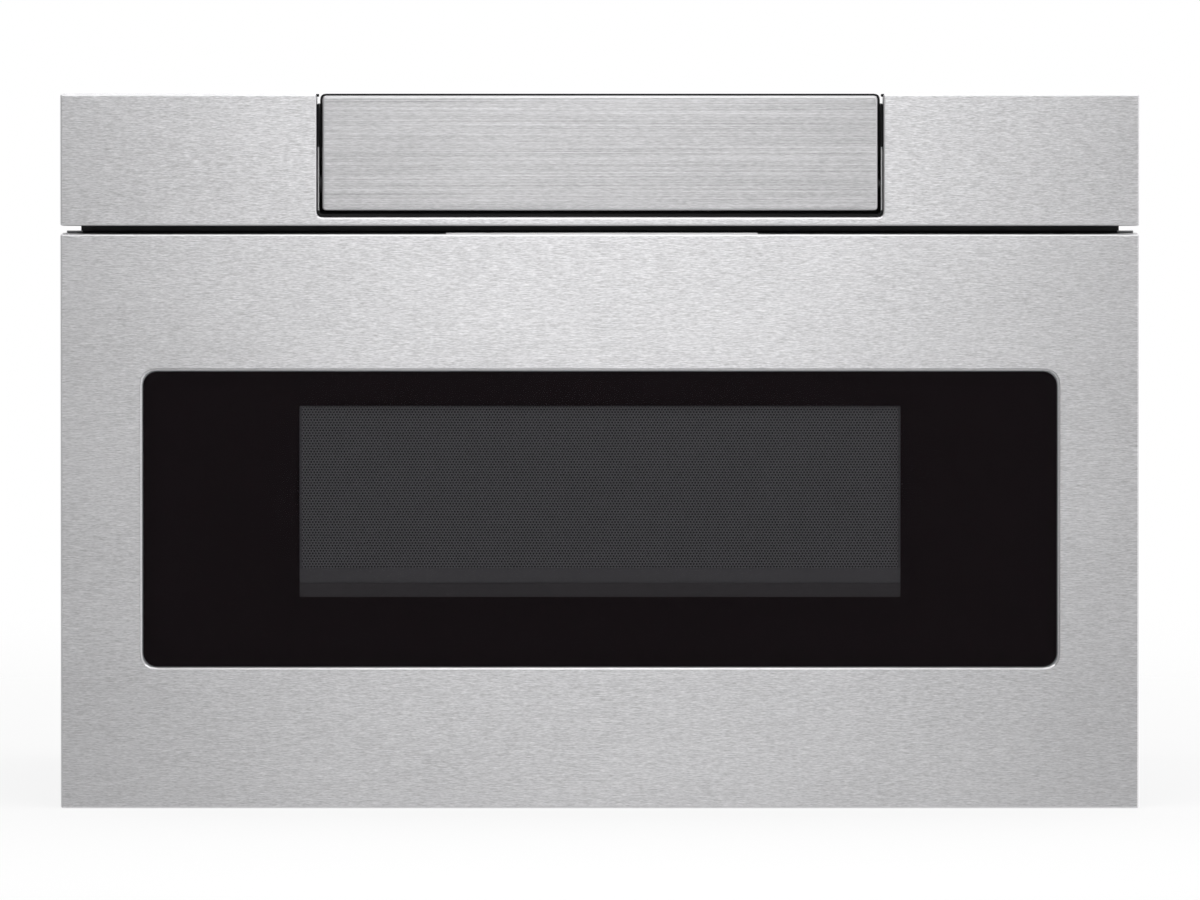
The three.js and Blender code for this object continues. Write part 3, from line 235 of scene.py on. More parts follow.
class Finish:
    """A node tree with one shader, for a material or the world."""

    def __init__(self, tree):
        self.tree = tree

    def node(self, kind, settings, sockets, output=None):
        """Adds a node: its settings first, then the values and links of its sockets. Gives one output."""
        made = self.tree.nodes.new(kind)
        for key, value in settings.items():
            setattr(made, key, value)
        for key, value in sockets.items():
            socket = made.inputs[key] if isinstance(key, int) else self.named(made.inputs, key)
            self.plug(socket, value)
        enabled = next((socket for socket in made.outputs if socket.enabled), None)
        return Wire(self, made.outputs[output] if output else enabled)

    def outputs(self, kind, sockets, *names):
        """Adds a node and gives several of its outputs."""
        made = self.node(kind, {}, sockets).socket.node
        return [Wire(self, made.outputs[name]) for name in names]

    @staticmethod
    def named(sockets, name):
        return next(socket for socket in sockets if socket.enabled and socket.name == name)

    def plug(self, socket, value):
        if isinstance(value, Wire):
            self.tree.links.new(value.socket, socket)
        else:
            socket.default_value = value

    def place(self, across):
        """Object coordinates, times a number of repeats to the metre, the same or one for each axis."""
        repeats = across if isinstance(across, tuple) else (across,) * 3
        spot = self.node("ShaderNodeTexCoord", {}, {}, "Object")
        return self.node("ShaderNodeVectorMath", {"operation": "MULTIPLY"}, {0: spot, 1: repeats})

    def noise(self, across, detail=2.0, contrast=1.0, waver=0.0):
        """Noise about 0.5, which swings more with more contrast."""
        grain = self.node(
            "ShaderNodeTexNoise", {},
            {"Vector": self.place(across), "Scale": 1.0, "Detail": detail, "Distortion": waver},
        )
        return (grain - 0.5) * contrast + 0.5 if contrast != 1.0 else grain

    def smooth(self, value, start, end):
        """Goes softly from 0 to 1 while the value goes from start to end."""
        return self.node(
            "ShaderNodeMapRange", {"interpolation_type": "SMOOTHSTEP"},
            {"Value": value, "From Min": start, "From Max": end},
        )

    def bend(self):
        """1 on a slanted edge between the front and a side, and 0 on both of those."""
        normal = self.node("ShaderNodeTexCoord", {}, {}, "Normal")
        forward = self.node("ShaderNodeSeparateXYZ", {}, {"Vector": normal}, "Y") * -1.0
        return self.smooth(forward, *BEND_BEGINS) * (1.0 - self.smooth(forward, *BEND_ENDS))

    def between(self, factor, first, second):
        """A colour that goes from first to second with the factor."""
        return self.node(
            "ShaderNodeMix", {"data_type": "RGBA"}, {"Factor": factor, "A": first, "B": second}
        )

    def varied(self, factor, tone, spread):
        """A tone that goes from darker to lighter by its spread with the factor."""
        return self.between(factor, shade(tone, 1 - spread), shade(tone, 1 + spread))

    def bump(self, height, depth):
        sockets = {"Strength": BUMP_STRENGTH, "Distance": depth, "Height": height}
        return self.node("ShaderNodeBump", {}, sockets)

    def dress(self, **sockets):
        """Sets or links sockets of the shader, whose names take spaces for underscores."""
        for name, value in sockets.items():
            self.plug(self.shader.inputs[name.replace("_", " ")], value)


def shade(tone, factor):
    """A colour made darker or lighter, with full alpha."""
    return tuple(min(1.0, part * factor) for part in tone[:3]) + (1.0,)


def new_finish(name, **sockets):
    """A material with a Principled shader."""
    material = bpy.data.materials.new(name)
    material.use_nodes = True
    finish = Finish(material.node_tree)
    finish.material = material
    finish.shader = next(n for n in material.node_tree.nodes if n.type == "BSDF_PRINCIPLED")
    finish.dress(**sockets)
    return finish


def toned(name, tone, spread, across, roughness, detail=2.0, bump=0.0, **sockets):
    """A finish whose colour, roughness and relief follow one noise."""
    finish = new_finish(name, **sockets)
    grain = finish.noise(across, detail, TONE_CONTRAST)
    finish.dress(Base_Color=finish.varied(grain, tone, spread))
    finish.dress(Roughness=roughness[0] + (roughness[1] - roughness[0]) * grain)
    if bump:
        finish.dress(Normal=finish.bump(grain, bump))
    return finish


def brushed(name, tone, spread, dash, line, waver=0.0, long_dash=0.0, long_share=0.0):
    """Brushed steel: dashes of one length and line width, a share of them longer, and bends that are smoother
    and carry a painted highlight.
    """
    finish = new_finish(name, Metallic=1.0, Anisotropic=0.75, Anisotropic_Rotation=0.25)
    grain = finish.noise((1 / dash, 1 / line, 1 / line), BRUSH_DETAIL, BRUSH_CONTRAST, waver)
    if long_share:
        lines = finish.noise((1 / long_dash, 1 / line, 1 / line), BRUSH_DETAIL, BRUSH_CONTRAST)
        grain = grain * (1 - long_share) + lines * long_share
    drift = finish.noise(DRIFT, 1.0)
    steel = finish.varied(grain * DASH_SHARE + drift * DRIFT_SHARE, tone, spread)
    bend = finish.bend()
    # A bend's brighter tone is a painted highlight; its lower roughness below is the bend's own smoothness.
    finish.dress(Base_Color=finish.between(bend, steel, shade(tone, BEND_HIGHLIGHT)))
    finish.dress(Roughness=BRUSH_ROUGHNESS - GRAIN_GLOSS * grain - BEND_GLOSS * bend)
    finish.dress(Normal=finish.bump(grain, FINE_RELIEF))
    return finish


def shaded_middle(name, tone, ends, reach):
    """Sheet that is black in the middle, as painted shade of the gap it lies in, and takes the ends' colour
    further out than reach.
    """
    finish = new_finish(name, Specular_IOR_Level=0.1)
    grain = finish.noise(400.0, contrast=TONE_CONTRAST)
    across = abs(finish.node("ShaderNodeSeparateXYZ", {}, {"Vector": finish.place(1.0)}))
    # The middle's black is painted shade.
    shade_black = finish.varied(grain, tone, 0.2)
    ends_mask = finish.smooth(across, reach, reach + SHADE_FADE)
    finish.dress(Base_Color=finish.between(ends_mask, shade_black, shade(ends, 1.0)))
    finish.dress(Roughness=0.7 + 0.15 * grain)
    return finish


def galvanised(name, tone, cell, spread):
    """Zinc-coated sheet: crystals of slightly different tone and gloss, with fine scratches."""
    finish = new_finish(name, Metallic=0.9)
    cells = {"Vector": finish.place(1 / cell), "Scale": 1.0}
    crystal = finish.node("ShaderNodeTexVoronoi", {}, cells, "Color")
    level = finish.node("ShaderNodeSeparateColor", {}, {"Color": crystal})
    scratch = finish.noise((60.0, 60.0, 900.0), 2.0, 1.6)
    finish.dress(Base_Color=finish.varied(level * 0.6 + scratch * 0.4, tone, spread))
    finish.dress(Roughness=0.36 + 0.16 * level)
    return finish


def speckled(name, tone, fleck, across, threshold):
    """Enamel with fine flecks."""
    finish = new_finish(name, Coat_Weight=0.25, Coat_Roughness=0.12)
    flecks = finish.noise(across, 1.0) > threshold
    cloud = finish.noise(18.0)
    ground = finish.varied(cloud, tone, 0.06)
    finish.dress(Base_Color=finish.between(flecks, ground, shade(tone, fleck)))
    finish.dress(Roughness=0.3 + 0.08 * cloud)
    return finish


def glazed(name, tone):
    """Glass-ceramic: almost even, with a faint cloud and a slight ripple."""
    finish = new_finish(name, Coat_Weight=0.4, Coat_Roughness=0.06)
    cloud = finish.noise(25.0, 3.0, 1.5)
    finish.dress(Base_Color=finish.between(cloud, shade(tone, 0.97), shade(tone, 1.02)))
    ripple = finish.noise(140.0, 1.0)
    finish.dress(Roughness=0.16 + 0.06 * cloud, Normal=finish.bump(ripple, FINE_RELIEF))
    return finish


def laminated(name, iron, copper):
    """Transformer: ridges of stacked laminations, with streaks of lacquered copper in the iron's colour."""
    finish = new_finish(name, Metallic=0.8)
    bands = finish.node(
        "ShaderNodeTexWave", {"bands_direction": "Y", "wave_profile": "SAW"},
        {"Vector": finish.place(1.0), "Scale": 260.0, "Distortion": 0.4, "Detail": 1.0},
    )
    wire = finish.noise((30.0, 30.0, 1100.0), 1.0, 1.8)
    finish.dress(Base_Color=finish.between(wire, shade(iron, 0.7), shade(copper, 1.0)))
    finish.dress(Roughness=0.35 + 0.2 * bands, Normal=finish.bump(bands, 0.0002))
    return finish


def board(name, mask):
    """Circuit board: solder mask over copper tracks."""
    finish = new_finish(name, Coat_Weight=0.3, Coat_Roughness=0.2)
    tones = {"Color1": shade(mask, 1.0), "Color2": shade(mask, 0.8), "Mortar": shade(mask, 1.8)}
    tracks = finish.node(
        "ShaderNodeTexBrick", {"offset": 0.5},
        {"Vector": finish.place(1.0), **tones, "Scale": 90.0, "Mortar Size": 0.06},
    )
    cloud = finish.noise(60.0)
    finish.dress(Base_Color=tracks, Roughness=0.35 + 0.15 * cloud)
    return finish


def all_finishes(colours):
    """Every material of the drawer, by the name of its finish."""
    steel, zinc = colours.stainless, colours.zinc
    screen, black = colours.screen_paint, colours.black_plastic
    front_grain = {"dash": 0.0024, "line": 0.00034, "waver": 0.22, "long_dash": 0.0062, "long_share": 0.5}
    flap_grain = {"dash": 0.0033, "line": 0.0003, "waver": 0.22, "long_dash": 0.2, "long_share": 0.54}
    plain_grain = {"dash": 0.02, "line": 0.0008}
    dull = {"Specular_IOR_Level": 0.1}
    made = {
        "stainless": brushed("brushed_stainless", steel, 0.34, **front_grain),
        # The band's and the flap's steel are the front's at 0.99 and 0.78 of its tone: shaded copies, painted
        # shade.
        "band_shaded_stainless": brushed("band_brushed_shaded_stainless", shade(steel, 0.99), 0.36, **front_grain),
        "flap_shaded_stainless": brushed("long_brushed_shaded_stainless", shade(steel, 0.78), 0.37, **flap_grain),
        # The lining is the front's steel at 0.52 of its tone: painted shade of the notch it lies in.
        "shaded_lining_sheet": brushed("shaded_lining_sheet", shade(steel, 0.52), 0.08, **plain_grain),
        "plain_stainless": brushed("plain_stainless", steel, 0.08, **plain_grain),
        "case_zinc": galvanised("galvanised_sheet", zinc, 0.009, 0.12),
        "bright_zinc": galvanised("bright_zinc", shade(zinc, 1.12), 0.004, 0.08),
        "black_paint": toned(
            "black_powder_coat", colours.black_paint, 0.25, 900.0, (0.42, 0.6), bump=0.00012
        ),
        "screen_paint": toned("dark_screen_paint", screen, 0.06, 260.0, (0.45, 0.6), Metallic=0.3),
        # The perforated field is the rim's paint at 1.9 times its tone: a lit copy of the same paint, painted
        # light.
        "lit_screen_mesh": toned(
            "lit_perforated_screen", shade(screen, 1.9), 0.05, 260.0, (0.4, 0.55), Metallic=0.3
        ),
        "glass_print": toned("glass_print", colours.glass_print, 0.05, 40.0, (0.05, 0.09), **dull),
        "enamel": speckled("grey_enamel", colours.enamel, 1.7, 1300.0, 0.66),
        "ceramic": glazed("glazed_tray", colours.ceramic),
        "black_plastic": toned(
            "black_moulding", black, 0.3, 1500.0, (0.5, 0.66), bump=0.00008, Specular_IOR_Level=0.3
        ),
        "black_rubber": toned("black_rubber", black, 0.2, 400.0, (0.7, 0.85), bump=0.0001, **dull),
        # The back plate's black middle is painted shade of the gap between the band and the drawer; its ends
        # are grey.
        "back_plate": shaded_middle("back_plate_painted_shade", black, (0.30, 0.30, 0.31), 0.291),
        # The gasket's dark colour is painted shade of the window's recessed foot.
        "gasket_and_shade": toned("window_gasket_and_shade", (0.055, 0.050, 0.055), 0.1, 400.0, (0.6, 0.75), bump=0.00006),
        "white_plastic": toned(
            "white_moulding", colours.white_plastic, 0.03, 120.0, (0.38, 0.5), bump=0.00003,
            Subsurface_Weight=0.05,
        ),
        "aluminium": toned(
            "drawn_aluminium", colours.aluminium, 0.07, (500.0, 500.0, 60.0), (0.3, 0.45), Metallic=1.0
        ),
        "mica": toned(
            "mica_sheet", (0.48, 0.42, 0.29), 0.16, (90.0, 90.0, 500.0), (0.4, 0.7), detail=4.0
        ),
        "core": laminated("transformer_core", (0.16, 0.12, 0.10), (0.42, 0.16, 0.06)),
        "board": board("circuit_board", (0.02, 0.11, 0.04)),
        "keypad_glass": toned("keypad_glass", colours.glass_print, 0.05, 60.0, (0.06, 0.12)),
        "legend": toned("legend_ink", colours.legend, 0.04, 700.0, (0.4, 0.5)),
        "display": toned("clock_window", (0.006, 0.010, 0.012), 0.15, 80.0, (0.05, 0.08)),
        "digits": toned("clock_digits", (0.12, 0.42, 0.40), 0.04, 700.0, (0.3, 0.4)),
        "clear_glass": toned(
            "clear_door_glass", (0.006, 0.005, 0.006), 0.04, 30.0, (0.02, 0.04), Alpha=0.28, **dull
        ),
        "inner_glass": toned(
            "inner_window_glass", (0.05, 0.055, 0.055), 0.04, 30.0, (0.03, 0.05), Alpha=0.3
        ),
    }
    return {name: finish.material for name, finish in made.items()}


finishes = {}


def finish_of(name):
    """A material from the shared set, which is made at its first use."""
    if not finishes:
        finishes.update(all_finishes(bpy.context.scene.drawer_colours))
    return finishes[name]


def refinish(name, *nodes):
    """Gives CAD nodes a finish."""
    for node in nodes:
        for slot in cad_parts[node].material_slots:
            slot.material = finish_of(name)


# ------------------------ meshes

SHARP = 0.00001
POINTS_TO_A_SIDE = 4
SCREW_POINTS = 6 * POINTS_TO_A_SIDE
BEAD_STEPS, BEAD_FLANK, BEAD_ROUNDNESS = 5, 0.96, 0.99
UP, BACK, FORWARD = (0, 0, 1), (0, 1, 0), (0, -1, 0)


def add_object(name, data, material):
    """Puts a mesh into the scene as an object with one material."""
    data.materials.append(material)
    made = bpy.data.objects.new(name, data)
    bpy.context.scene.collection.objects.link(made)
    return made


class Solid:
    """A mesh in the making, in metres in the drawer's own frame."""

    def __init__(self):
        self.mesh = bmesh.new()

    def ring(self, points):
        return [self.mesh.verts.new(point) for point in points]

    def bridge(self, first, second):
        """Joins two rings by a band of faces."""
        for i in range(len(first)):
            j = (i + 1) % len(first)
            self.mesh.faces.new((first[i], first[j], second[j], second[i]))

    def stack(self, rings):
        """Joins rings of points in a row, and closes both ends."""
        made = [self.ring(points) for points in rings]
        for first, second in zip(made, made[1:]):
            self.bridge(first, second)
        self.mesh.faces.new(list(reversed(made[0])))
        self.mesh.faces.new(made[-1])

    def box(self, low, high, bevel=0.0):
        """A block whose four edges along y are cut back by a bevel."""
        middle = (Vector(low) + Vector(high)) / 2
        half = (Vector(high) - Vector(low)) / 2
        outline = corner_loop(half.x, half.z, max(bevel, SHARP), 2 if bevel else 1)
        self.plate(outline, middle.x, middle.z, low[1], high[1], bevel / 2)

    def side_box(self, side, x, y, z, bevel):
        """A block on one side, left or right, between two distances x from the middle."""
        low, high = sorted((side * x[0], side * x[1]))
        self.box((low, y[0], z[0]), (high, y[1], z[1]), bevel)

    def plate(self, outline, x, z, near, far, chamfer=0.0):
        """A flat plate between two planes of y, with chamfered rims."""
        def at(y, inset):
            return [(x + px - math.copysign(inset, px), y, z + pz - math.copysign(inset, pz))
                    for px, pz in outline]
        rings = [at(near + chamfer, 0.0), at(far - chamfer, 0.0)]
        if chamfer:
            rings = [at(near, chamfer), *rings, at(far, chamfer)]
        self.stack(rings)

    def rim(self, outer, inner, near, far):
        """A flat frame between two outlines with as many points, from near to far in y."""
        front_outer, front_inner, back_outer, back_inner = (
            self.ring([(x, y, z) for x, z in outline]) for y in (near, far) for outline in (outer, inner)
        )
        self.bridge(front_outer, front_inner)
        self.bridge(back_inner, back_outer)
        self.bridge(back_outer, front_outer)
        self.bridge(front_inner, back_inner)

    def place(self, name, material):
        """Puts the mesh into the scene, with its faces looking outwards."""
        bmesh.ops.recalc_face_normals(self.mesh, faces=self.mesh.faces)
        data = bpy.data.meshes.new(name)
        self.mesh.to_mesh(data)
        self.mesh.free()
        return add_object(name, data, material)

    def finish(self, name, finish, body, slot, smooth=False):
        """Makes the piece with the named finish, which rides on a body. The slot is not used."""
        made = self.place(name, finish_of(finish))
        if smooth:
            made.data.shade_smooth()
        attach(made, body)
        return made


def corner_loop(half_width, half_height, radius, steps):
    """The outline of a rectangle with round corners, about its middle."""
    points = []
    for quarter, (sx, sz) in enumerate(((1, 1), (-1, 1), (-1, -1), (1, -1))):
        for step in range(steps + 1):
            angle = math.pi / 2 * (quarter + step / steps)
            points.append((
                sx * (half_width - radius) + radius * math.cos(angle),
                sz * (half_height - radius) + radius * math.sin(angle),
            ))
    return points


def circle(radius, z, count=SCREW_POINTS):
    """Points of a level circle about the origin."""
    turns = [2 * math.pi * i / count for i in range(count)]
    return [(radius * math.cos(turn), radius * math.sin(turn), z) for turn in turns]


def hexagon(radius, z):
    """A hexagon with as many points as a screw's circles, spread along its sides."""
    points = []
    for i in range(SCREW_POINTS):
        side, step = divmod(i, POINTS_TO_A_SIDE)
        part = step / POINTS_TO_A_SIDE
        a, b = (math.pi / 3 * (side + k) for k in (0, 1))
        points.append((
            radius * (math.cos(a) * (1 - part) + math.cos(b) * part),
            radius * (math.sin(a) * (1 - part) + math.sin(b) * part),
            z,
        ))
    return points


def shifted(outline, x, z):
    return [(x + px, z + pz) for px, pz in outline]


def turned(solid, start, matrix):
    """Moves what has been added to a solid since start by a matrix."""
    solid.mesh.verts.ensure_lookup_table()
    bmesh.ops.transform(solid.mesh, matrix=matrix, verts=solid.mesh.verts[start:])


# A screw from the surface up: outline, size that its radius is a share of, that share, share of its height.
SCREW_RINGS = (
    (circle, "screw_flange", 1.0, 0.0),
    (circle, "screw_flange", 1.0, 0.175),
    (circle, "screw_flange", 0.86, 0.35),
    (hexagon, "screw_hex", 1.0, 0.35),
    (hexagon, "screw_hex", 1.0, 0.85),
    (circle, "screw_hex", 0.8, 1.0),
    (circle, "screw_hex", 0.5, 1.0),
    (circle, "screw_hex", 0.38, 0.72),
)


def add_screw(solid, place, normal, sizes):
    """A hexagon-headed sheet metal screw with a flange, standing on a surface."""
    start = len(solid.mesh.verts)
    solid.stack([
        outline(getattr(sizes, size) * share, sizes.screw_height * height)
        for outline, size, share, height in SCREW_RINGS
    ])
    turn = Vector(normal).to_track_quat("Z", "Y").to_matrix().to_4x4()
    turned(solid, start, Matrix.Translation(place) @ turn)


def add_bead(solid, place, normal, along, span, sizes):
    """A pressed bead: a low rounded ridge with round ends, lying on a sheet."""
    start = len(solid.mesh.verts)
    half_span, half_width = span / 2, sizes.bead_width / 2
    rings = []
    for i in range(BEAD_STEPS + 1):
        angle = math.pi / 2 * i / BEAD_STEPS
        inset = half_width * (1 - math.cos(angle)) * BEAD_FLANK
        corner = max(half_width - inset, SHARP) * BEAD_ROUNDNESS
        outline = corner_loop(half_span - inset, half_width - inset, corner, 5)
        rings.append([(x, y, sizes.bead_height * math.sin(angle)) for x, y in outline])
    solid.stack(rings)
    up, right = Vector(normal), Vector(along)
    turn = Matrix((right, up.cross(right), up)).transposed().to_4x4()
    turned(solid, start, Matrix.Translation(place) @ turn)


# ------------------------ front

# The plate on the top edge: its ends, how far it is behind the front's face, and its sheet.
GRIP_X, GRIP_BEHIND, GRIP_SHEET = (-0.0865, 0.0885), (0.0016, 0.018), 0.0006

# The notch's side wall is this far from the middle, and its trims and linings lie on that wall.
NOTCH_WALL = 0.159
TRIM_X, TRIM_Y, TRIM_LOW = (NOTCH_WALL - 0.0007, NOTCH_WALL), (-0.0366, -0.0290), 0.3620
TIP_X, TIP_Y = (NOTCH_WALL - 0.0012, NOTCH_WALL + 0.0008), (-0.0366, -0.0300)
TIP_Z = (BAND_TOP - 0.0016, BAND_TOP - 0.0001)
LINING_X = (NOTCH_WALL - 0.0013, NOTCH_WALL - 0.0004)
LINING_Y, LINING_Z = (-0.0352, -0.03405), (0.3262, 0.3618)
SHEET_BEVEL, TIP_BEVEL = 0.0002, 0.0003


class DRAWER_OT_stainless(bpy.types.Operator):
    """Brushes the drawer front, the band and the flap, and adds the plate on the drawer's top edge"""

    bl_idname = "drawer.stainless"
    bl_label = "Stainless front"

    def execute(self, context):
        refinish("stainless", "drawer_front_panel")
        # The band and the flap take shaded copies of the front's steel: painted shade.
        refinish("band_shaded_stainless", "top_band")
        refinish("flap_shaded_stainless", "flap_panel")
        near, far = (FRONT_LOW.y + y for y in GRIP_BEHIND)
        plate = Solid()
        plate.box(
            (GRIP_X[0], near, FRONT_HIGH.z), (GRIP_X[1], far, FRONT_HIGH.z + GRIP_SHEET), SHEET_BEVEL
        )
        plate.finish("grip_plate", "plain_stainless", "drawer", "stainless")
        return {"FINISHED"}


class DRAWER_OT_notch_trim(bpy.types.Operator):
    """Lines the flap's notch on each side: a black trim above, the edge of a lining sheet below, whose steel
    is darkened as painted shade of the notch
    """

    bl_idname = "drawer.notch_trim"
    bl_label = "Notch trims"

    def execute(self, context):
        for name, side in SIDES:
            trim = Solid()
            trim.side_box(side, TRIM_X, TRIM_Y, (TRIM_LOW, RECESS_TOP), SHEET_BEVEL)
            trim.side_box(side, TIP_X, TIP_Y, TIP_Z, TIP_BEVEL)
            trim.finish(f"notch_trim_{name}", "black_rubber", "chassis", "black_plastic")
            lining = Solid()
            lining.side_box(side, LINING_X, LINING_Y, LINING_Z, SHEET_BEVEL)
            lining.finish(f"notch_lining_{name}", "shaded_lining_sheet", "chassis", "stainless")
        return {"FINISHED"}


# ------------------------ door

# The border is printed behind the pane, the screen is plain round its holes, and the gasket is in between;
# the gasket's dark colour is painted shade of the window's recessed foot.
PRINT_DEPTH, PRINT_GAP, PRINT_INSET = 0.0002, 0.00002, 0.00025
WINDOW_CORNER, GLASS_STEPS = 0.0008, 10
RIM_CORNER, HOLES_CORNER, RIM_STEPS = 0.002, 0.0006, 4
HOLES_SIDE_INSET, HOLES_TOP_INSET = 0.0013, 0.0006
HOLES_OVERLAP, MICROMETRES = 0.9, 1e6
GASKET_OVERLAP, GASKET_DROP, GASKET_GAP, GASKET_BEVEL = 0.001, 0.0012, 0.0001, 0.0004


class DRAWER_OT_door_glass(bpy.types.Operator):
    """Makes the door's glass pane and the black border printed behind it"""

    bl_idname = "drawer.door_glass"
    bl_label = "Door glass"

    def execute(self, context):
        door = context.scene.drawer_door
        middle = (GLASS_LOW + GLASS_HIGH) / 2
        half = (GLASS_HIGH - GLASS_LOW) / 2
        printed = GLASS_HIGH.y - PRINT_DEPTH
        outline = corner_loop(half.x, half.z, door.glass_corner, GLASS_STEPS)
        pane = Solid()
        pane.plate(outline, middle.x, middle.z, GLASS_LOW.y, printed, door.glass_chamfer)
        made = pane.finish("door_glass_pane", "clear_glass", "drawer", "clear_glass")
        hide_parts("door_glass")

        window_z = (door.window_low + door.window_high) / 2
        half_height = (door.window_high - door.window_low) / 2
        window = corner_loop(door.window_width / 2, half_height, WINDOW_CORNER, GLASS_STEPS)
        edge = corner_loop(half.x - PRINT_INSET, half.z - PRINT_INSET, door.glass_corner, GLASS_STEPS)
        border = Solid()
        border.rim(
            shifted(edge, middle.x, middle.z), shifted(window, 0.0, window_z),
            printed + PRINT_GAP, GLASS_HIGH.y,
        )
        border.finish("door_glass_border", "glass_print", "drawer", "black_glass")
        return {"FINISHED"}


def hex_sheet(width, low, high, pitch, radius, y):
    """A flat sheet of hexagonal cells with a six-sided hole in each, as vertices and faces.

    A cell's corner that is within a micrometre of a known one is the same vertex.
    """
    row = pitch * math.sqrt(3) / 2
    cell = pitch / math.sqrt(3)
    columns = int(width / pitch) + 1
    rows = int((high - low) / row) + 1
    turns = [math.radians(30 + 60 * k) for k in range(6)]
    points, faces, known = [], [], {}
    for j in range(rows):
        z = low + j * row
        shift = pitch / 2 if j % 2 else 0.0
        for i in range(columns):
            x = (i - (columns - 1) / 2) * pitch + shift
            outer = []
            for turn in turns:
                corner = (x + cell * math.cos(turn), z + cell * math.sin(turn))
                key = tuple(round(part * MICROMETRES) for part in corner)
                near = next((known[k] for k in neighbours(key) if k in known), None)
                if near is None:
                    near = known[key] = len(points)
                    points.append((corner[0], y, corner[1]))
                outer.append(near)
            first = len(points)
            points.extend((x + radius * math.cos(t), y, z + radius * math.sin(t)) for t in turns)
            for k in range(6):
                n = (k + 1) % 6
                faces.append((outer[k], outer[n], first + n, first + k))
    return points, faces


def neighbours(key):
    """A rounded point and the eight round it."""
    return [(key[0] + dx, key[1] + dz) for dx in (0, -1, 1) for dz in (0, -1, 1)]


class DRAWER_OT_window_screen(bpy.types.Operator):
    """Makes the perforated screen behind the glass, with its plain rim and gasket"""

    bl_idname = "drawer.window_screen"
    bl_label = "Window screen"

    def execute(self, context):
        door = context.scene.drawer_door
        side = door.window_width / 2 - HOLES_SIDE_INSET
        low, high = door.holes_low, door.window_high - HOLES_TOP_INSET
        outer = corner_loop(SCREEN_HIGH.x, (SCREEN_HIGH.z - SCREEN_LOW.z) / 2, RIM_CORNER, RIM_STEPS)
        inner = corner_loop(side, (high - low) / 2, HOLES_CORNER, RIM_STEPS)
        sheet = Solid()
        sheet.rim(
            shifted(outer, 0.0, (SCREEN_LOW.z + SCREEN_HIGH.z) / 2), shifted(inner, 0.0, (high + low) / 2),
            SCREEN_LOW.y, SCREEN_HIGH.y,
        )
        made = sheet.finish("screen_rim", "screen_paint", "drawer", "black_steel")
        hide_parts("window_screen")

        reach = door.hole_pitch * HOLES_OVERLAP
        points, faces = hex_sheet(
            2 * (side + reach), low - reach / 2, high + reach / 2, door.hole_pitch, door.hole_radius,
            (SCREEN_LOW.y + SCREEN_HIGH.y) / 2,
        )
        data = bpy.data.meshes.new("screen_holes")
        data.from_pydata(points, [], faces)
        # The holes' field takes the lit copy of the screen's paint: painted light.
        field = add_object("screen_holes", data, finish_of("lit_screen_mesh"))
        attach(field, "drawer")

        # A dark strip along the window's foot: its darkness is painted shade.
        half_gasket = door.window_width / 2 + GASKET_OVERLAP
        gasket_and_shade = Solid()
        gasket_and_shade.box(
            (-half_gasket, GLASS_HIGH.y + GASKET_GAP, door.window_low - GASKET_DROP),
            (half_gasket, SCREEN_LOW.y - GASKET_GAP, door.gasket_top), GASKET_BEVEL,
        )
        gasket_and_shade.finish("window_gasket_and_shade", "gasket_and_shade", "drawer", "black_plastic")
        refinish("inner_glass", "inner_window_glass")
        return {"FINISHED"}


class DRAWER_OT_door_inside(bpy.types.Operator):
    """Finishes the door's inner sheets, its choke cover and its latch hooks"""

    bl_idname = "drawer.door_inside"
    bl_label = "Door inside"

    def execute(self, context):
        refinish("case_zinc", "door_choke_frame")
        refinish("black_plastic", "choke_cover")
        refinish("back_plate", "door_back_plate")
        refinish("white_plastic", "latch_hook_left", "latch_hook_right")
        return {"FINISHED"}


# ------------------------ flap

INK = 0.00006

# Columns of keys from left to right, from the first one's middle on, with wider gaps before two of them.
KEY_COLUMNS = (
    ("1", "6"), ("2", "7"), ("3", "8"), ("4", "9"), ("5", "0"),
    ("plus", "minus"), ("ON", "OFF"), ("clock", "stop"), ("open", "start"),
)
FIRST_KEY, FUNCTION_GAP, START_GAP = 0.086, 0.012, 0.008
LAST_DIGIT_COLUMN, LAST_FUNCTION_COLUMN = 4, 6
WORD_SHARE, SIGN_SHARE, CLOCK_SHARE = 0.62, 0.72, 0.72
KEY_CORNER, DISPLAY_CORNER, DISPLAY_MARGIN = 0.002, 0.0015, 0.012

# Signs on the keys, in shares of their size: outlines, and bars as a middle and half a width and height.
ARROWS = {
    "start": ((-0.34, -0.42), (-0.34, 0.42), (0.44, 0.0)),
    "open": ((-0.42, 0.2), (0.42, 0.2), (0.0, -0.42)),
}
BARS = {
    "plus": ((0.0, 0.0, 0.5, 0.09), (0.0, 0.3, 0.09, 0.2), (0.0, -0.3, 0.09, 0.2)),
    "minus": ((0.0, 0.0, 0.5, 0.09),),
    "stop": ((0.0, 0.0, 0.36, 0.36),),
    "clock": ((0.0, -0.14, 0.05, 0.16), (0.12, 0.0, 0.14, 0.05)),
    "open": ((0.0, 0.42, 0.42, 0.06),),
}
DIAL_ROUNDNESS, DIAL_LINE = 0.98, 0.1


def add_frame(solid, x, z, half_width, half_height, radius, line, y):
    """A line of ink round a rectangle with round corners."""
    outer = corner_loop(half_width, half_height, radius, 4)
    inner = corner_loop(half_width - line, half_height - line, radius - line, 4)
    solid.rim(shifted(outer, x, z), shifted(inner, x, z), y, y + INK)


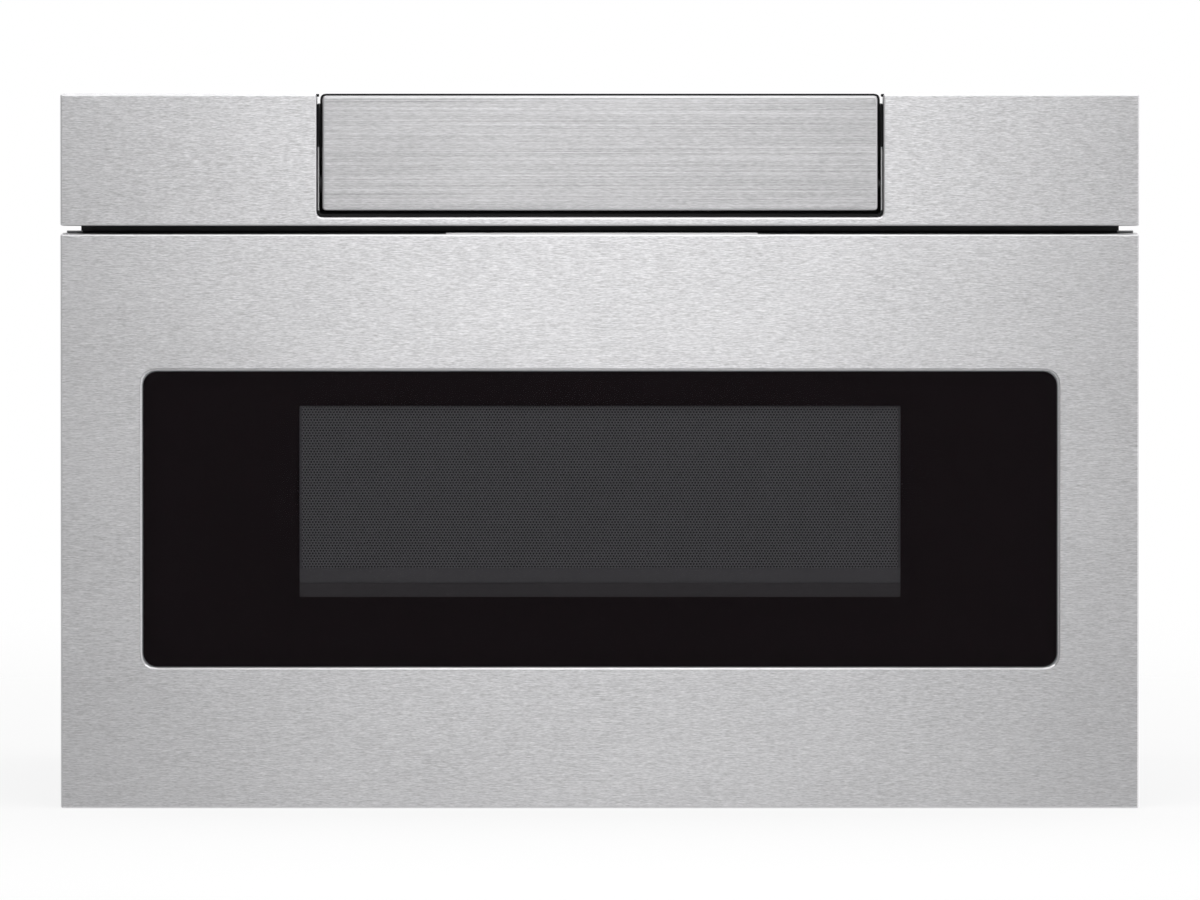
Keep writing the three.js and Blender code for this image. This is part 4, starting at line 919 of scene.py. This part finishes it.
def add_text(solid, words, x, z, size, y):
    """Digits or ON and OFF, to be read from above when the flap is open."""
    curve = bpy.data.curves.new("words", "FONT")
    curve.body, curve.size, curve.extrude = words, size, INK / 2
    curve.align_x, curve.align_y = "CENTER", "CENTER"
    curve.resolution_u = 3
    maker = bpy.data.objects.new("words", curve)
    bpy.context.scene.collection.objects.link(maker)
    data = bpy.data.meshes.new_from_object(maker.evaluated_get(bpy.context.evaluated_depsgraph_get()))
    bpy.data.objects.remove(maker)
    data.transform(Matrix((
        (1, 0, 0, x),
        (0, 0, 1, y + INK / 2),
        (0, -1, 0, z),
        (0, 0, 0, 1),
    )))
    solid.mesh.from_mesh(data)
    bpy.data.meshes.remove(data)


def add_sign(solid, kind, x, z, size, y):
    """A plain sign on a key: start, stop, plus, minus, a clock, or an arrow away from a bar for open."""
    half = size / 2
    if kind == "clock":
        add_frame(solid, x, z, half, half, half * DIAL_ROUNDNESS, size * DIAL_LINE, y)
    if kind in ARROWS:
        solid.stack([
            [(x + px * size, depth, z + pz * size) for px, pz in ARROWS[kind]] for depth in (y, y + INK)
        ])
    for px, pz, half_width, half_height in BARS.get(kind, ()):
        middle_x, middle_z = x + size * px, z + size * pz
        wide, high = size * half_width, size * half_height
        solid.box((middle_x - wide, y, middle_z - high), (middle_x + wide, y + INK, middle_z + high))


class DRAWER_OT_flap(bpy.types.Operator):
    """Finishes the flap's frame, damper, pin and latch, and prints the keypad on its glass"""

    bl_idname = "drawer.flap"
    bl_label = "Flap and keypad"

    def execute(self, context):
        refinish("black_plastic", "flap_frame", "flap_damper", "flap_latch", "control_recess")
        refinish("black_paint", "flap_hinge_pin")
        refinish("keypad_glass", "keypad_glass")
        keypad = context.scene.drawer_keypad
        middle_z = (KEYPAD_LOW.z + KEYPAD_HIGH.z) / 2
        self.keys(keypad, middle_z)
        self.display(keypad, middle_z)
        return {"FINISHED"}

    def keys(self, keypad, middle_z):
        face = KEYPAD_HIGH.y
        half_width, half_height = keypad.key_width / 2, keypad.key_height / 2
        legend = Solid()
        for i, pair in enumerate(KEY_COLUMNS):
            x = KEYPAD_LOW.x + FIRST_KEY + i * keypad.key_pitch
            x += FUNCTION_GAP if i > LAST_DIGIT_COLUMN else 0.0
            x += START_GAP if i > LAST_FUNCTION_COLUMN else 0.0
            for row, sign in enumerate(pair):
                z = middle_z + (row - 0.5) * keypad.row_pitch
                add_frame(legend, x, z, half_width, half_height, KEY_CORNER, keypad.line, face)
                if sign.isdigit():
                    add_text(legend, sign, x, z, keypad.digit_height, face)
                elif sign.isupper():
                    add_text(legend, sign, x, z, keypad.digit_height * WORD_SHARE, face)
                else:
                    add_sign(legend, sign, x, z, keypad.digit_height * SIGN_SHARE, face)
        legend.finish("keypad_legend", "legend", "flap", "black_glass")

    def display(self, keypad, middle_z):
        face = KEYPAD_HIGH.y
        half_width = keypad.display_width / 2
        x = KEYPAD_LOW.x + DISPLAY_MARGIN + half_width
        outline = corner_loop(half_width, keypad.display_height / 2, DISPLAY_CORNER, 4)
        window = Solid()
        window.plate(outline, x, middle_z, face, face + INK)
        window.finish("clock_window", "display", "flap", "black_glass")
        digits = Solid()
        add_text(digits, keypad.clock, x, middle_z, keypad.display_height * CLOCK_SHARE, face + INK)
        digits.finish("clock_digits", "digits", "flap", "black_glass")


# ------------------------ drawer tub, slides and drive

class DRAWER_OT_tub(bpy.types.Operator):
    """Finishes the drawer's walls, floor and tray"""

    bl_idname = "drawer.tub"
    bl_label = "Drawer tub"

    def execute(self, context):
        walls = (f"drawer_{name}_wall" for name in ("left", "right", "rear"))
        refinish("enamel", *walls, "drawer_floor_pan")
        refinish("ceramic", "ceramic_tray")
        return {"FINISHED"}


class DRAWER_OT_slides(bpy.types.Operator):
    """Finishes the slides, the carriage and the drive"""

    bl_idname = "drawer.slides"
    bl_label = "Slides and drive"

    def execute(self, context):
        for member in ("outer", "middle", "inner"):
            refinish("bright_zinc", *(f"{member}_slide_{name}" for name, _ in SIDES))
        refinish("case_zinc", "carriage_frame")
        refinish("bright_zinc", "drive_rack", "drive_pinion")
        refinish("aluminium", "drive_motor")
        return {"FINISHED"}


# ------------------------ case

# Places on the case: x from the middle, y from the flange's face, z from the shelf.
HEM_BEVEL, HEM_FRONT, HEM_LOW, HEM_SEAM = 0.0003, 0.0008, 0.004, 0.0006
TOP_BEADS_X, TOP_BEADS_Y, TOP_BEAD_LENGTH = (-0.16, 0.0, 0.16), 0.255, 0.40
SIDE_BEADS_Z, SIDE_BEADS_Y, SIDE_BEAD_LENGTH = (0.115, 0.275), 0.225, 0.34
REAR_BEADS_X, REAR_BEADS_Z, REAR_BEAD_LENGTH = (-0.11, 0.06), 0.2, 0.25
TOP_EDGE_SCREWS_Y, REAR_EDGE_SCREWS_Z = (0.03, 0.20, 0.37, 0.52), (0.03, 0.15, 0.28)
FLANGE_SCREWS_Z, FLANGE_SCREW_INSET = (0.04, 0.19), 0.0075
TOP_SCREWS_X = (-0.25, -0.085, 0.085, 0.25)
REAR_SCREWS_X, REAR_SCREWS_Z = (-0.262, 0.262), (0.02, 0.19, 0.355)


class DRAWER_OT_case(bpy.types.Operator):
    """Finishes the case and adds its folded hems, pressed beads and screws"""

    bl_idname = "drawer.case"
    bl_label = "Case"

    def execute(self, context):
        panels = (f"case_{name}_panel" for name in ("left", "right", "top", "rear"))
        refinish("case_zinc", "base_pan", *panels)
        refinish("black_paint", "mounting_flange")
        refinish("black_plastic", "cord_gland")
        sizes = context.scene.drawer_case
        self.hems(sizes)
        self.beads(sizes)
        self.screws(sizes)
        return {"FINISHED"}

    def hems(self, sizes):
        x = (CASE_SIDE, CASE_SIDE + sizes.sheet)
        rear_hem = CASE_REAR - sizes.hem
        hems = Solid()
        for _, side in SIDES:
            hems.side_box(side, x, (HEM_FRONT, rear_hem), (CASE_TOP - sizes.hem, CASE_TOP), HEM_BEVEL)
            hems.side_box(side, x, (rear_hem + HEM_SEAM, CASE_REAR), (HEM_LOW, CASE_TOP), HEM_BEVEL)
        hems.box(
            (-CASE_SIDE, rear_hem, CASE_TOP), (CASE_SIDE, CASE_REAR, CASE_TOP + sizes.sheet), HEM_BEVEL
        )
        hems.finish("case_hems", "case_zinc", "chassis", "zinc_steel")

    def beads(self, sizes):
        beads = Solid()
        for x in TOP_BEADS_X:
            add_bead(beads, (x, TOP_BEADS_Y, CASE_TOP), UP, BACK, TOP_BEAD_LENGTH, sizes)
        for _, side in SIDES:
            for z in SIDE_BEADS_Z:
                place = (side * CASE_SIDE, SIDE_BEADS_Y, z)
                add_bead(beads, place, (side, 0, 0), BACK, SIDE_BEAD_LENGTH, sizes)
        for x in REAR_BEADS_X:
            add_bead(beads, (x, CASE_REAR, REAR_BEADS_Z), BACK, UP, REAR_BEAD_LENGTH, sizes)
        beads.finish("case_beads", "case_zinc", "chassis", "zinc_steel", smooth=True)

    def screws(self, sizes):
        half_hem, hem_x = sizes.hem / 2, CASE_SIDE + sizes.sheet
        flange_x = FLANGE_HIGH.x - FLANGE_SCREW_INSET
        screws = Solid()
        for _, side in SIDES:
            for y in TOP_EDGE_SCREWS_Y:
                add_screw(screws, (side * hem_x, y, CASE_TOP - half_hem), (side, 0, 0), sizes)
            for z in REAR_EDGE_SCREWS_Z:
                add_screw(screws, (side * hem_x, CASE_REAR - half_hem, z), (side, 0, 0), sizes)
            for z in FLANGE_SCREWS_Z:
                add_screw(screws, (side * flange_x, FLANGE_LOW.y, z), FORWARD, sizes)
        for x in TOP_SCREWS_X:
            add_screw(screws, (x, CASE_REAR - half_hem, CASE_TOP + sizes.sheet), UP, sizes)
        for x in REAR_SCREWS_X:
            for z in REAR_SCREWS_Z:
                add_screw(screws, (x, CASE_REAR, z), BACK, sizes)
        screws.finish("case_screws", "bright_zinc", "chassis", "zinc_steel")


# ------------------------ cavity and what works behind it

class DRAWER_OT_cavity(bpy.types.Operator):
    """Finishes the cavity, its mica cover and the lamp"""

    bl_idname = "drawer.cavity"
    bl_label = "Cavity"

    def execute(self, context):
        walls = (f"cavity_{name}" for name in ("floor", "left_wall", "right_wall", "ceiling", "rear_wall"))
        refinish("enamel", *walls)
        refinish("mica", "stirrer_cover")
        refinish("white_plastic", "oven_lamp")
        return {"FINISHED"}


class DRAWER_OT_power(bpy.types.Operator):
    """Finishes the microwave feed, the high-voltage supply, the fan and the electrics"""

    bl_idname = "drawer.power"
    bl_label = "Feed, supply and fan"

    def execute(self, context):
        refinish("bright_zinc", "waveguide")
        refinish("aluminium", "stirrer_fan", "stirrer_motor", "magnetron", "cooling_fan_motor")
        refinish("aluminium", "high_voltage_capacitor")
        refinish("core", "high_voltage_transformer")
        refinish("black_plastic", "cooling_fan_housing", "thermal_cutout")
        refinish("black_plastic", "interlock_switches_left", "interlock_switches_right")
        refinish("white_plastic", "cooling_fan_blades")
        refinish("board", "control_board", "noise_filter_board")
        return {"FINISHED"}


# ------------------------ studio

# The floor's paper, and how much of it glows to the camera so that it looks white.
PAPER = (0.86, 0.86, 0.86, 1.0)
PAPER_GLOW = 0.8

# The floor's size and where it fades out, and the shelf's size. Both are just below what stands there.
FLOOR_RADIUS, FLOOR_POINTS, FLOOR_FADE = 2.8, 48, (0.9, 2.6)
FLOOR_LOW, FLOOR_DROP, SHELF_DROP, SHELF_GAP = -0.0401, 0.0003, 0.0002, 0.0003
SHELF_X, SHELF_Y, SHELF_BEVEL = 0.29, (0.004, 0.58), 0.001
SENSOR_WIDTH, CLIP = 36.0, (0.05, 60.0)

# Brighter parts of the room that the steel mirrors: direction, gain, where it starts and where it is full.
ROOM = (
    ("X", 0.95, 0.1, 0.95),
    ("X", 0.25, -0.1, -0.95),
    ("Y", 0.45, 0.0, 0.6),
    ("Z", 1.4, 0.55, 1.0),
    ("Z", 0.65, -0.4, -0.9),
)

# Softboxes: place, target, width and height, share of the fill power or none for the front one's own,
# and whether the steel mirrors it.
SOFTBOXES = (
    ("front_softbox", (0.01, -1.1, 0.67), (0.01, 0.0, 0.67), (0.5, 0.8), None, True),
    ("overhead_softbox", (0.0, -0.9, 1.7), (0.0, 0.0, 0.2), (1.8, 0.5), 0.8, True),
    ("right_softbox", (1.7, -1.3, 0.7), (0.0, 0.0, 0.2), (0.9, 1.2), 0.9, False),
    ("left_softbox", (-1.7, -1.5, 0.8), (0.0, 0.0, 0.2), (0.9, 1.2), 0.7, False),
    ("top_softbox", (0.0, 0.5, 1.9), (0.0, 0.3, 0.2), (1.4, 1.4), 1.2, False),
    ("rear_softbox", (0.4, 2.2, 1.2), (0.0, 0.4, 0.2), (1.6, 1.2), 1.2, True),
)


class DRAWER_OT_studio(bpy.types.Operator):
    """Makes the pale floor, the softboxes, the white surround and the camera"""

    bl_idname = "drawer.studio"
    bl_label = "Studio"

    def execute(self, context):
        studio = context.scene.drawer_studio
        self.floor()
        self.surround(context, studio)
        self.lamps(context, studio)
        self.camera(context, studio)
        return {"FINISHED"}

    def floor(self):
        """A round floor that fades out at its rim, and the shelf that the case stands on."""
        material = bpy.data.materials.new("studio_floor")
        material.use_nodes = True
        material.node_tree.nodes.clear()
        finish = Finish(material.node_tree)
        seen = finish.node("ShaderNodeLightPath", {}, {}, "Is Camera Ray")
        paper = finish.node("ShaderNodeBsdfDiffuse", {}, {"Color": PAPER})
        glow = finish.node("ShaderNodeEmission", {}, {"Color": WHITE, "Strength": 1.0})
        lifted = finish.node("ShaderNodeMixShader", {}, {"Fac": seen * PAPER_GLOW, 1: paper, 2: glow})
        clear = finish.node("ShaderNodeBsdfTransparent", {}, {})
        level = finish.place((1.0, 1.0, 0.0))
        away = finish.node("ShaderNodeVectorMath", {"operation": "LENGTH"}, {0: level}, "Value")
        fade = finish.smooth(away, *FLOOR_FADE)
        faded = finish.node("ShaderNodeMixShader", {}, {"Fac": fade, 1: lifted, 2: clear})
        finish.node("ShaderNodeOutputMaterial", {}, {"Surface": faded})

        ground = Solid()
        ground.stack([circle(FLOOR_RADIUS, z, FLOOR_POINTS) for z in (FLOOR_LOW, cad_low.z - FLOOR_DROP)])
        self.staged("studio_floor", ground, material).visible_glossy = False
        shelf = Solid()
        shelf.box(
            (-SHELF_X, SHELF_Y[0], cad_low.z - SHELF_DROP), (SHELF_X, SHELF_Y[1], -SHELF_GAP), SHELF_BEVEL
        )
        self.staged("studio_shelf", shelf, material)

    @staticmethod
    def staged(name, solid, material):
        made = solid.place(name, material)
        return made

    def surround(self, context, studio):
        """A world that is white to the camera, a room in the steel and even light elsewhere."""
        world = context.scene.world or bpy.data.worlds.new("studio")
        context.scene.world = world
        world.use_nodes = True
        world.node_tree.nodes.clear()
        finish = Finish(world.node_tree)
        camera, glossy = finish.outputs("ShaderNodeLightPath", {}, "Is Camera Ray", "Is Glossy Ray")
        direction = finish.node("ShaderNodeTexCoord", {}, {}, "Generated")
        parts = finish.outputs("ShaderNodeSeparateXYZ", {"Vector": direction}, "X", "Y", "Z")
        towards = dict(zip("XYZ", parts))
        mirrored = studio.front_level
        for axis, gain, start, end in ROOM:
            mirrored = mirrored + gain * finish.smooth(towards[axis], start, end)
        strength = camera + glossy * mirrored + (1 - camera - glossy) * studio.sky
        glow = finish.node("ShaderNodeBackground", {}, {"Color": WHITE, "Strength": strength})
        finish.node("ShaderNodeOutputWorld", {}, {"Surface": glow})

    def lamps(self, context, studio):
        """Softboxes: two in front, one at each side, one overhead and one behind."""
        for name, place, target, size, share, mirrored in SOFTBOXES:
            lamp = bpy.data.lights.new(name, "AREA")
            lamp.shape, lamp.size, lamp.size_y = "RECTANGLE", *size
            lamp.energy = studio.fill_watts * share if share else studio.front_watts
            holder = bpy.data.objects.new(name, lamp)
            holder.location = place
            holder.rotation_euler = (Vector(target) - Vector(place)).to_track_quat("-Z", "Y").to_euler()
            holder.visible_camera = False
            holder.visible_glossy = mirrored
            context.scene.collection.objects.link(holder)

    def camera(self, context, studio):
        lens = bpy.data.cameras.new("camera")
        lens.sensor_width = SENSOR_WIDTH
        lens.lens = lens.sensor_width * studio.camera_distance / studio.view_width
        lens.clip_start, lens.clip_end = CLIP
        holder = bpy.data.objects.new("camera", lens)
        back, up = math.cos(studio.camera_angle), math.sin(studio.camera_angle)
        holder.location = (
            studio.view_side,
            cad_low.y - studio.camera_distance * back,
            studio.view_height + studio.camera_distance * up,
        )
        holder.rotation_euler = (math.pi / 2 - studio.camera_angle, 0.0, 0.0)
        context.scene.collection.objects.link(holder)
        context.scene.camera = holder
        context.scene.view_settings.view_transform = "Standard"


# ------------------------ add-on

OPERATORS = (
    DRAWER_OT_stainless,
    DRAWER_OT_notch_trim,
    DRAWER_OT_door_glass,
    DRAWER_OT_window_screen,
    DRAWER_OT_door_inside,
    DRAWER_OT_flap,
    DRAWER_OT_tub,
    DRAWER_OT_slides,
    DRAWER_OT_case,
    DRAWER_OT_cavity,
    DRAWER_OT_power,
    DRAWER_OT_studio,
)


class DRAWER_PT_pieces(bpy.types.Panel):
    """Lists the drawer's pieces and their settings"""

    bl_idname = "DRAWER_PT_pieces"
    bl_label = "Microwave drawer"
    bl_space_type = "VIEW_3D"
    bl_region_type = "UI"
    bl_category = "Microwave drawer"

    def draw(self, context):
        for operator in OPERATORS:
            self.layout.operator(operator.bl_idname)
        for name, group in GROUPS:
            box = self.layout.box()
            for key in group.__annotations__:
                box.prop(getattr(context.scene, name), key)


def register():
    for name, group in GROUPS:
        bpy.utils.register_class(group)
        setattr(bpy.types.Scene, name, PointerProperty(type=group))
    for operator in OPERATORS:
        bpy.utils.register_class(operator)
    bpy.utils.register_class(DRAWER_PT_pieces)


def unregister():
    bpy.utils.unregister_class(DRAWER_PT_pieces)
    for operator in reversed(OPERATORS):
        bpy.utils.unregister_class(operator)
    for name, group in reversed(GROUPS):
        delattr(bpy.types.Scene, name)
        bpy.utils.unregister_class(group)


def main():
    register()
    for operator in OPERATORS:
        section, name = operator.bl_idname.split(".")
        getattr(getattr(bpy.ops, section), name)()


if __name__ == "__main__":
    main()
